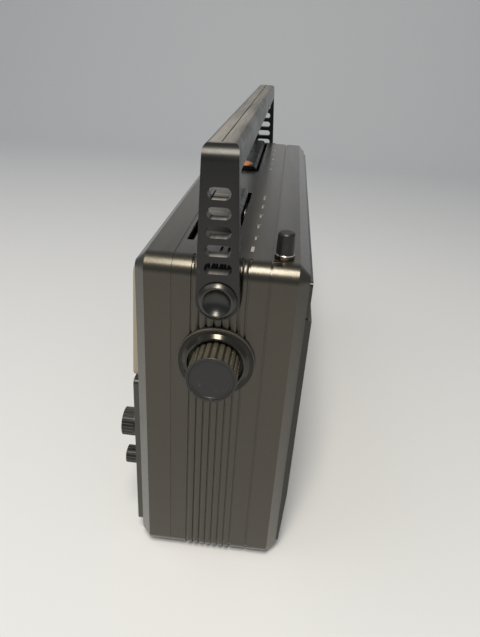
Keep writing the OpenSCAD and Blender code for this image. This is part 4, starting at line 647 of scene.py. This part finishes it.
# The two front controls are fluted black knobs pushed onto their spindles, each with a white line on its
# face and an arc of printed ticks on the panel.
grain_effect, given, given_out = effect("moulded_grain", {"Size": 0.0004}, ["Height", "Shade"])
spot = add(grain_effect, "TexCoord").outputs["Object"]
per_metre = maths(grain_effect, "DIVIDE", 1.0, given.outputs["Size"])
pits = add(grain_effect, "TexNoise", {"Vector": spot, "Scale": per_metre, "Detail": 2.0, "Roughness": 0.6})
patches = add(grain_effect, "TexNoise", {"Vector": spot, "Scale": 45.0, "Detail": 4.0})
grain_effect.links.new(pits.outputs["Fac"], given_out.inputs["Height"])
grain_effect.links.new(patches.outputs["Fac"], given_out.inputs["Shade"])


def black_plastic(name, dark, light, rough, dust_and_sheen=0.2, rubs=0.3, grain=0.0004, relief=0.15,
                  dust_sheen_film=(0.30, 0.27, 0.22), **plain):
    """Moulded plastic with a fine grain, uneven gloss, pale rubs and a pale film on upward faces, partly
    settled dust and partly painted sheen.
    """
    made, tree, shader = finish(name, dark, rough, **plain)
    skin = add(tree, "Group", {"Size": grain}, node_tree=grain_effect)
    used = add(tree, "Group", {"Dust_and_sheen": dust_and_sheen, "Rubs": rubs}, node_tree=handling_and_sheen)
    colour = blend_colour(tree, skin.outputs["Shade"], dark, light)
    # On faces that look up the pale film is partly dust and partly a painted sheen.
    colour = blend_colour(tree, used.outputs["Dust_and_sheen"], colour, dust_sheen_film)
    colour = blend_colour(tree, used.outputs["Rubs"], colour, (0.13, 0.12, 0.10))
    tree.links.new(colour, shader.inputs["Base Color"])
    gloss = ranged(tree, skin.outputs["Shade"], (0.3, 0.7), (rough - 0.05, rough + 0.08))
    gloss = maths(tree, "ADD", gloss, used.outputs["Dust_and_sheen"])
    tree.links.new(gloss, shader.inputs["Roughness"])
    bump = add(tree, "Bump", {"Strength": relief, "Distance": 0.00008, "Height": skin.outputs["Height"]})
    tree.links.new(bump.outputs["Normal"], shader.inputs["Normal"])
    return made


knob_black = black_plastic("knob_black", (0.006, 0.006, 0.006), (0.011, 0.011, 0.010), 0.26, relief=0.05)
white_ink = ink("white_ink", (0.74, 0.74, 0.70))
knob_rounding, line_w, tick_gap = 0.0022, 0.0009, 0.0018
front_knobs = []
for knob in ("volume", "tone"):
    low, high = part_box(knob + "_knob")
    middle, r = (low + high) / 2, (high.x - low.x) / 2
    face_r = r - knob_rounding
    front_knobs.append((knob, middle, r))
    moulding(knob + "_knob", 0.00022, knob_black)
    pointer_line = [(middle.x, middle.z + face_r * 0.55, bar(line_w, face_r * 0.7), 0)]
    printed(knob + "_knob_line", pointer_line, on_front(low.y), white_ink, knob)

# A tick repeated along an arc, pointing away from its middle.
ticks, given, given_out = growth_tree("tick_arc", {
    "Count": ("Int", 5), "Radius": ("Float", 0.01), "Start": ("Float", 0.0), "Sweep": ("Float", 1.0),
    "Tick": ("Vector", (0.0003, 0.001, 0.00004)), "Place": ("Vector", (0, 0, 0)),
    "Material": ("Material", None)})
arc = grow(ticks, "GeometryNodeCurveArc", {
    "Radius": given.outputs["Radius"], "Start Angle": given.outputs["Start"],
    "Sweep Angle": given.outputs["Sweep"]})
stops = grow(ticks, "GeometryNodeCurveToPoints", {"Curve": arc.outputs[0], "Count": given.outputs["Count"]})
tick = grow(ticks, "GeometryNodeMeshCube", {"Size": given.outputs["Tick"]})
around = grow(ticks, "ShaderNodeVectorMath", {
    0: grow(ticks, "GeometryNodeInputPosition").outputs[0]}, operation="NORMALIZE")
facing = grow(ticks, "FunctionNodeAlignRotationToVector", {"Vector": around.outputs["Vector"]}, axis="Y")
marks_on = grow(ticks, "GeometryNodeInstanceOnPoints", {
    "Points": stops.outputs["Points"], "Instance": tick.outputs["Mesh"],
    "Rotation": facing.outputs["Rotation"]})
whole = grow(ticks, "GeometryNodeRealizeInstances", {"Geometry": marks_on.outputs["Instances"]})
placed = grow(ticks, "GeometryNodeTransform", {
    "Geometry": whole.outputs["Geometry"], "Translation": given.outputs["Place"],
    "Rotation": (math.pi / 2, 0, 0)})
coated(ticks, placed.outputs["Geometry"], given, given_out)
panel_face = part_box("front_panel")[0].y
for knob, middle, r in front_knobs:
    grown(knob + "_ticks", ticks, {
        "Count": 9, "Radius": r + tick_gap, "Start": math.radians(110), "Sweep": math.radians(140),
        "Tick": (0.0004, 0.0013, print_thick), "Place": (middle.x, panel_face - print_lift, middle.z),
        "Material": white_ink}, "case")

# The cassette door is a black frame that tips forward on two pins. A smoked window is cemented into its
# back, and a thin bright trim lies round the window on the front.
door_black = black_plastic("door_black", (0.012, 0.011, 0.010), (0.020, 0.019, 0.017), 0.34)
moulding("cassette_door", 0.0004, door_black)
door_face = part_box("cassette_door")[0].y
smoke, tree, shader = finish("smoked_plastic", (0.20, 0.19, 0.18), 0.06, IOR=1.49, Transmission_Weight=1.0)
haze = noise(tree, 180.0, 5.0)
tree.links.new(ranged(tree, haze, (0.4, 0.75), (0.03, 0.16)), shader.inputs["Roughness"])
moulding("cassette_window", 0.0002, smoke)
window_x, window_z = -0.094, 0.1504
window_half_w, window_half_h = 0.0352, 0.0142
window_low = (window_x - window_half_w, window_z - window_half_h)
window_high = (window_x + window_half_w, window_z + window_half_h)
bright, tree, shader = finish("bright_metal", (0.72, 0.72, 0.70), 0.16, 1.0)
wiped = noise(tree, 160.0, 4.0)
tree.links.new(ranged(tree, wiped, (0.35, 0.7), (0.08, 0.3)), shader.inputs["Roughness"])
colour_by(tree, shader, wiped, (0.66, 0.66, 0.64), (0.80, 0.80, 0.78))
trim_margin, trim_foot, trim_face = 0.0014, door_face + 0.0001, door_face - 0.00025
outer = inset(window_low, window_high, -trim_margin)
lofted("window_trim", [
    front_loop(*outer, 0.003, trim_foot), front_loop(*inset(*outer, 0.0002), 0.003, trim_face),
    front_loop(*inset(*outer, 0.0010), 0.0026, trim_face),
    front_loop(*inset(*outer, 0.0012), 0.0026, trim_foot)],
    True, bright, "cassette_door")
rib_black = black_plastic("rib_black", (0.012, 0.011, 0.010), (0.022, 0.02, 0.018), 0.3, grain=0.0003)
door_rib_half, door_rib_z, door_rib_pitch, door_rib_h = 0.036, 0.1185, 0.0036, 0.0018
for i in range(3):
    low = (window_x - door_rib_half, door_rib_z + door_rib_pitch * i)
    high = (window_x + door_rib_half, low[1] + door_rib_h)
    lofted("door_rib_%d" % (i + 1), [
        front_loop(low, high, 0.0008, trim_foot), front_loop(low, high, 0.0008, door_face - 0.0002),
        front_loop(*inset(low, high, 0.0002), 0.0007, door_face - 0.0004)],
        False, rib_black, "cassette_door")

# The tape deck behind the door: plated plate, bridge and flywheel, nylon reel spindles and a rubber
# pinch roller. They show through the window and when the door is open.
nylon = mottled("nylon", (0.62, 0.60, 0.52), (0.56, 0.53, 0.44), (0.66, 0.64, 0.56), 120.0, 4.0, 0.42,
                Subsurface_Weight=0.1)
tread, tree, shader = finish("roller_rubber", (0.014, 0.014, 0.014), 0.8)
smear = drawn_noise(tree, (900.0, 60.0, 900.0))
colour_by(tree, shader, smear, (0.010, 0.010, 0.010), (0.05, 0.046, 0.042))
dress(steel, "deck_plate", "flywheel", "motor", "tape_key_shaft")
moulding("head_bridge", 0.0002, steel)
moulding("supply_spindle", 0.0002, nylon)
moulding("takeup_spindle", 0.0002, nylon)
dress(tread, "pinch_roller", "drive_belt")
brass = mottled("turned_brass", (0.62, 0.43, 0.17), (0.50, 0.34, 0.13), (0.70, 0.50, 0.22), 700.0, 3.0, 0.25,
                1.0)
dress(brass, "motor_pulley")

# The handle is one black moulding with five slots in each arm. It turns on two stepped bolts whose dished
# heads are turned and lacquered.
# The heavy pale film on faces that look up is partly dust and partly a painted sheen: it lightens the grip's
# top and the lower walls of the slots.
handle_black = black_plastic(
    "handle_black", (0.005, 0.005, 0.005), (0.009, 0.009, 0.0088), 0.26, dust_and_sheen=1.0, rubs=0.3, grain=0.00045,
    relief=0.2, dust_sheen_film=(0.37, 0.36, 0.34), Specular_IOR_Level=0.45)
moulding("handle", 0.0009, handle_black, steps=3)

# Rings as a lathe leaves them, and the distance from the middle, on faces that look along X.
spun, given, given_out = effect("spun_rings", {"Middle": 0.1, "Ring": 0.0003}, ["Radius", "Rings"])
parts = add(spun, "SeparateXYZ", {0: add(spun, "TexCoord").outputs["Object"]})
over = maths(spun, "SUBTRACT", parts.outputs["Z"], given.outputs["Middle"])
flat = add(spun, "CombineXYZ", {"X": parts.outputs["Y"], "Y": over}).outputs[0]
radius = add(spun, "VectorMath", {0: flat}, operation="LENGTH").outputs["Value"]
lathe = maths(spun, "DIVIDE", radius, given.outputs["Ring"])
across = add(spun, "CombineXYZ", {"X": lathe}).outputs[0]
rings = add(spun, "TexNoise", {"Vector": across, "Scale": 1.0, "Detail": 3.0})
spun.links.new(radius, given_out.inputs["Radius"])
spun.links.new(rings.outputs["Fac"], given_out.inputs["Rings"])


def spun_face(name, middle, edge, face, rim_highlight, rough, metal):
    """A turned face: fine rings, with a lighter colour outside a radius, a painted highlight on the rim."""
    made, tree, shader = finish(name, face, rough, metal)
    turned = add(tree, "Group", {"Middle": middle}, node_tree=spun)
    outside = ranged(tree, turned.outputs["Radius"], (edge - 0.00005, edge + 0.00005))
    used = add(tree, "Group", {"Rubs": 0.35}, node_tree=handling_and_sheen)
    dark, light = tuple(0.85 * c for c in face), tuple(1.15 * c for c in face)
    colour = blend_colour(tree, turned.outputs["Rings"], dark, light)
    colour = blend_colour(tree, outside, colour, rim_highlight)
    colour = blend_colour(tree, used.outputs["Rubs"], colour, (0.14, 0.13, 0.11))
    tree.links.new(colour, shader.inputs["Base Color"])
    gloss = ranged(tree, turned.outputs["Rings"], after=(rough - 0.08, rough + 0.08))
    tree.links.new(gloss, shader.inputs["Roughness"])
    return made


pivot_z = 0.1822
# Outside 7 mm the turned rim is painted lighter than the dish: a painted highlight.
bolt_metal = spun_face("bolt_metal", pivot_z, 0.0070, (0.055, 0.055, 0.053), (0.075, 0.073, 0.069), 0.3, 0.95)


def axle_loop(x, r, height, steps=64):
    """A circle about a line along X at a height."""
    return [(x, r * math.cos(2 * math.pi * i / steps), height + r * math.sin(2 * math.pi * i / steps))
            for i in range(steps)]


bolt_outline = [(0.1660, 0.0004), (0.1660, 0.0030), (0.1760, 0.0030), (0.1760, 0.0060), (0.1830, 0.0060),
                (0.1830, 0.0093), (0.1831, 0.0094), (0.1836, 0.0094), (0.1838, 0.00932), (0.1851, 0.0079),
                (0.18535, 0.0076), (0.18542, 0.0073), (0.18535, 0.0070)]
bowl_r, bowl_edge, bowl_steps = 0.0090, 0.0069, 14
bowl_middle = 0.1853 + math.sqrt(bowl_r ** 2 - bowl_edge ** 2)
for i in range(bowl_steps):
    r = bowl_edge * (1 - i / bowl_steps)
    bolt_outline.append((bowl_middle - math.sqrt(bowl_r ** 2 - r ** 2), r))
for side, way in (("right", 1), ("left", -1)):
    loops = [axle_loop(way * x, r, pivot_z) for x, r in bolt_outline]
    bolt = lofted("bolt_" + side, loops, False, bolt_metal, body_of_node["handle_pivots"])
    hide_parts("handle_pivots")

# The tuning control: a turned grey bezel pressed into the end, and a fluted metal knob on the shaft with a
# dark rim and a dark spun disc in its face.
tune_z = 0.1442
cone_outer, cone_inner, flank_highlight_radii = (0.01755, 0.01735), (0.0146, 0.0148), (0.0195, 0.0198)
flute_depth = (0.0120, 0.0125)
bezel_coat, tree, shader = finish("bezel_coat", (0.03, 0.028, 0.024), 0.3)
turned = add(tree, "Group", {"Middle": tune_z}, node_tree=spun)
used = add(tree, "Group", {"Rubs": 0.25}, node_tree=handling_and_sheen)
within = ranged(tree, turned.outputs["Radius"], cone_outer)
beyond = ranged(tree, turned.outputs["Radius"], cone_inner)
cone = maths(tree, "MULTIPLY", within, beyond)
colour = blend_colour(tree, turned.outputs["Rings"], (0.026, 0.0245, 0.021), (0.040, 0.0375, 0.032))
colour = blend_colour(tree, cone, colour, (0.06, 0.057, 0.05))
# Beyond 19.5 mm the flank is painted light: a painted highlight round the bezel's outer edge, which also
# lightens the flank where the ribs reflect it.
flank_highlight = ranged(tree, turned.outputs["Radius"], flank_highlight_radii)
colour = blend_colour(tree, flank_highlight, colour, (0.15, 0.14, 0.12))
colour_by(tree, shader, used.outputs["Rubs"], colour, (0.10, 0.095, 0.085))
tree.links.new(ranged(tree, cone, after=(0.75, 0.9)), shader.inputs["Metallic"])
tree.links.new(ranged(tree, cone, after=(0.45, 0.17)), shader.inputs["Roughness"])
moulding("tuning_bezel", 0.0002, bezel_coat)
flute_metal, tree, shader = finish("flute_metal", (0.26, 0.24, 0.185), 0.22, 0.85)
turned = add(tree, "Group", {"Middle": tune_z}, node_tree=spun)
# The flutes are coloured by radius: dark in the valleys and light at the crests, a painted shade and a
# painted highlight.
crest_highlight = ranged(tree, turned.outputs["Radius"], flute_depth)
colour_by(tree, shader, crest_highlight, (0.075, 0.068, 0.048), (0.46, 0.425, 0.335))
moulding("tuning_knob", 0.00018, flute_metal)
# Outside 12.62 mm, on the chamfer of the knob's rim, the colour is lighter: a painted highlight line round
# the face.
disc_face = spun_face("disc_face", tune_z, 0.01262, (0.026, 0.026, 0.026), (0.060, 0.058, 0.053), 0.34, 0.4)
knob_rim = [(0.1918, 0.0126), (0.19318, 0.01275), (0.19326, 0.01267), (0.19326, 0.01135), (0.1925, 0.0113)]
lofted("tuning_knob_rim", [axle_loop(x, r, tune_z) for x, r in knob_rim], True, disc_face,
       body_of_node["tuning_knob"])
moulding("tuning_knob_disc", 0.0001, disc_face)
dress(steel, "tuning_shaft")

# The keys in the top: five grey band keys with bevelled rear edges, and six black tape keys on a common
# shaft. The record key carries an orange arrow-shaped insert.
key_grey = black_plastic("key_grey", (0.050, 0.050, 0.047), (0.064, 0.063, 0.059), 0.26, dust_and_sheen=0.25,
                         rubs=0.2, relief=0.04)
for i in range(1, 6):
    moulding("band_key_%d" % i, 0.0003, key_grey)
key_black = black_plastic("key_black", (0.004, 0.004, 0.004), (0.007, 0.007, 0.0067), 0.34, dust_and_sheen=0.03,
                          rubs=0.3, relief=0.04, Specular_IOR_Level=0.2)
for name in ("record", "play", "rewind", "forward", "stop", "pause"):
    moulding("tape_key_" + name, 0.0003, key_black)
orange = mottled("orange_plastic", (0.90, 0.32, 0.08), (0.84, 0.28, 0.06), (0.95, 0.38, 0.10), 150.0, 3.0,
                 0.4)
key_top = 0.2018
record_x, insert_y, insert_half = -0.03945, -0.0080, 0.00935
insert_low, insert_high = record_x - insert_half, record_x + insert_half
arrow = [(insert_low, -0.0130), (insert_high, -0.0130), (insert_high, -0.0056), (record_x, -0.0010),
         (insert_low, -0.0056)]
drawn_in = [(record_x + 0.97 * (x - record_x), insert_y + 0.95 * (y - insert_y)) for x, y in arrow]
lofted("record_insert", [
    [(x, y, key_top - 0.0004) for x, y in arrow], [(x, y, key_top + 0.0001) for x, y in arrow],
    [(x, y, key_top + 0.00025) for x, y in drawn_in]],
    False, orange, "tape_key_record")

# The marks printed on the top behind the keys: plain figures and bars for the bands, and the usual dot,
# triangles, square and bars for the tape keys.
top_face = Matrix.Translation((0, 0, end_high + print_lift))
row_y, band_x, band_pitch, tape_pitch = 0.0137, 0.1355, 0.0202, 0.0219
figure_shift, bar_shift, top_figure_h = -0.0028, 0.0012, 0.0034
top_marks = [(0.1534, row_y - 0.0004, bar(0.0074, 0.0016), 0)]
for i in range(5):
    key_x = band_x - band_pitch * i
    top_marks.append((key_x + figure_shift, row_y, str(i + 1), top_figure_h))
    top_marks.append((key_x + bar_shift, row_y, bar(0.0048, 0.0009), 0))
top_marks.append((0.0495, row_y, bar(0.0034, 0.0007), 0))


def triangle(size, way):
    """Outline of a printed triangle that points along X."""
    return [(-way * size / 2, -size / 2), (way * size / 2, 0), (-way * size / 2, size / 2)][::int(way)]


dot_r, dot_sides = 0.0013, 24
dot_angles = [2 * math.pi * i / dot_sides for i in range(dot_sides)]
dot = [(dot_r * math.cos(a), dot_r * math.sin(a)) for a in dot_angles]
back, ahead, upright_bar = triangle(0.0024, -1), triangle(0.0024, 1), bar(0.0007, 0.0026)
symbols = [[(0, dot)], [(0, triangle(0.0026, 1))], [(-0.0012, back), (0.0012, back)],
           [(-0.0012, ahead), (0.0012, ahead)], [(0, bar(0.0024, 0.0024))],
           [(-0.0008, upright_bar), (0.0008, upright_bar)]]
for i, drawn in enumerate(symbols):
    for shift, outline in drawn:
        top_marks.append((record_x - tape_pitch * i + shift, row_y, outline, 0))
printed("top_marks", top_marks, top_face, ink("dull_ink", (0.46, 0.43, 0.39)), "case")

# The telescopic aerial: bright tubes that slide in a fixed one, a brassy collar in the top and a black cap
# with a bright ring at its foot.
collar_metal = black_plastic("collar_metal", (0.085, 0.070, 0.042), (0.13, 0.108, 0.066), 0.26,
                             relief=0.02, metal=1.0)
moulding("aerial_tube", 0.0002, collar_metal)
dress(bright, "aerial_section", "aerial_rod")
cap_black = black_plastic("cap_black", (0.005, 0.005, 0.005), (0.009, 0.009, 0.0085), 0.38, dust_and_sheen=0.12,
                          relief=0.06)
moulding("aerial_cap", 0.0003, cap_black)
aerial_low, aerial_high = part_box("aerial_cap")
aerial_at = (aerial_low + aerial_high) / 2


def round_loop(r, z, steps=48):
    """A circle round the aerial."""
    return [(aerial_at[0] + r * math.cos(2 * math.pi * i / steps),
             aerial_at[1] + r * math.sin(2 * math.pi * i / steps), z) for i in range(steps)]


ring_outline = [(0.0043, 0.20045), (0.00462, 0.20045), (0.00478, 0.2006), (0.00478, 0.20085),
                (0.00462, 0.201), (0.0043, 0.201)]
lofted("aerial_ring", [round_loop(r, z) for r, z in ring_outline], True, bright, "aerial_rod")

# The back: a lift-off battery door with finger grooves, the mains inlet, the earphone socket and the
# heads of the case screws.
door_paint = bronze_paint("door_bronze", (0.015, 0.0137, 0.0104), (0.022, 0.020, 0.0155))
moulding("battery_door", 0.0004, door_paint)
socket_black = black_plastic("socket_black", (0.012, 0.012, 0.012), (0.02, 0.02, 0.019), 0.35)
moulding("rear_sockets", 0.0002, socket_black)
moulding("case_screws", 0.00015, steel)

# Inside the case: board, tuning parts, ferrite rod, transformer, controls and battery box. They show only
# through the openings.
resin = mottled("resin_board", (0.26, 0.17, 0.06), (0.21, 0.135, 0.05), (0.31, 0.21, 0.08), 500.0, 2.0, 0.5)
iron, tree, shader = finish("iron_core", (0.16, 0.15, 0.14), 0.5, 0.7)
layers = add(tree, "TexWave", {
    "Vector": add(tree, "TexCoord").outputs["Object"], "Scale": 300.0, "Distortion": 0.3},
    bands_direction="Y")
colour_by(tree, shader, layers.outputs["Fac"], (0.08, 0.075, 0.07), (0.22, 0.21, 0.20))
fired = mottled("ferrite", (0.03, 0.028, 0.026), (0.02, 0.019, 0.018), (0.05, 0.047, 0.043), 1100.0, 2.0, 0.6)
braid, tree, shader = finish("dial_cord", (0.55, 0.52, 0.42), 0.8)
twist = add(tree, "TexWave", {"Vector": add(tree, "TexCoord").outputs["Object"], "Scale": 900.0},
            bands_direction="DIAGONAL")
colour_by(tree, shader, twist.outputs["Fac"], (0.40, 0.37, 0.29), (0.62, 0.59, 0.50))
dress(resin, "main_board")
dress(iron, "transformer")
dress(fired, "ferrite_rod")
dress(braid, "dial_cord")
dress(nylon, "tuning_drum", "band_switch")
dress(steel, "tuning_capacitor", "control_pots", "volume_spindle", "tone_spindle")
dress(bright, "battery_contacts")
dress(socket_black, "battery_box")
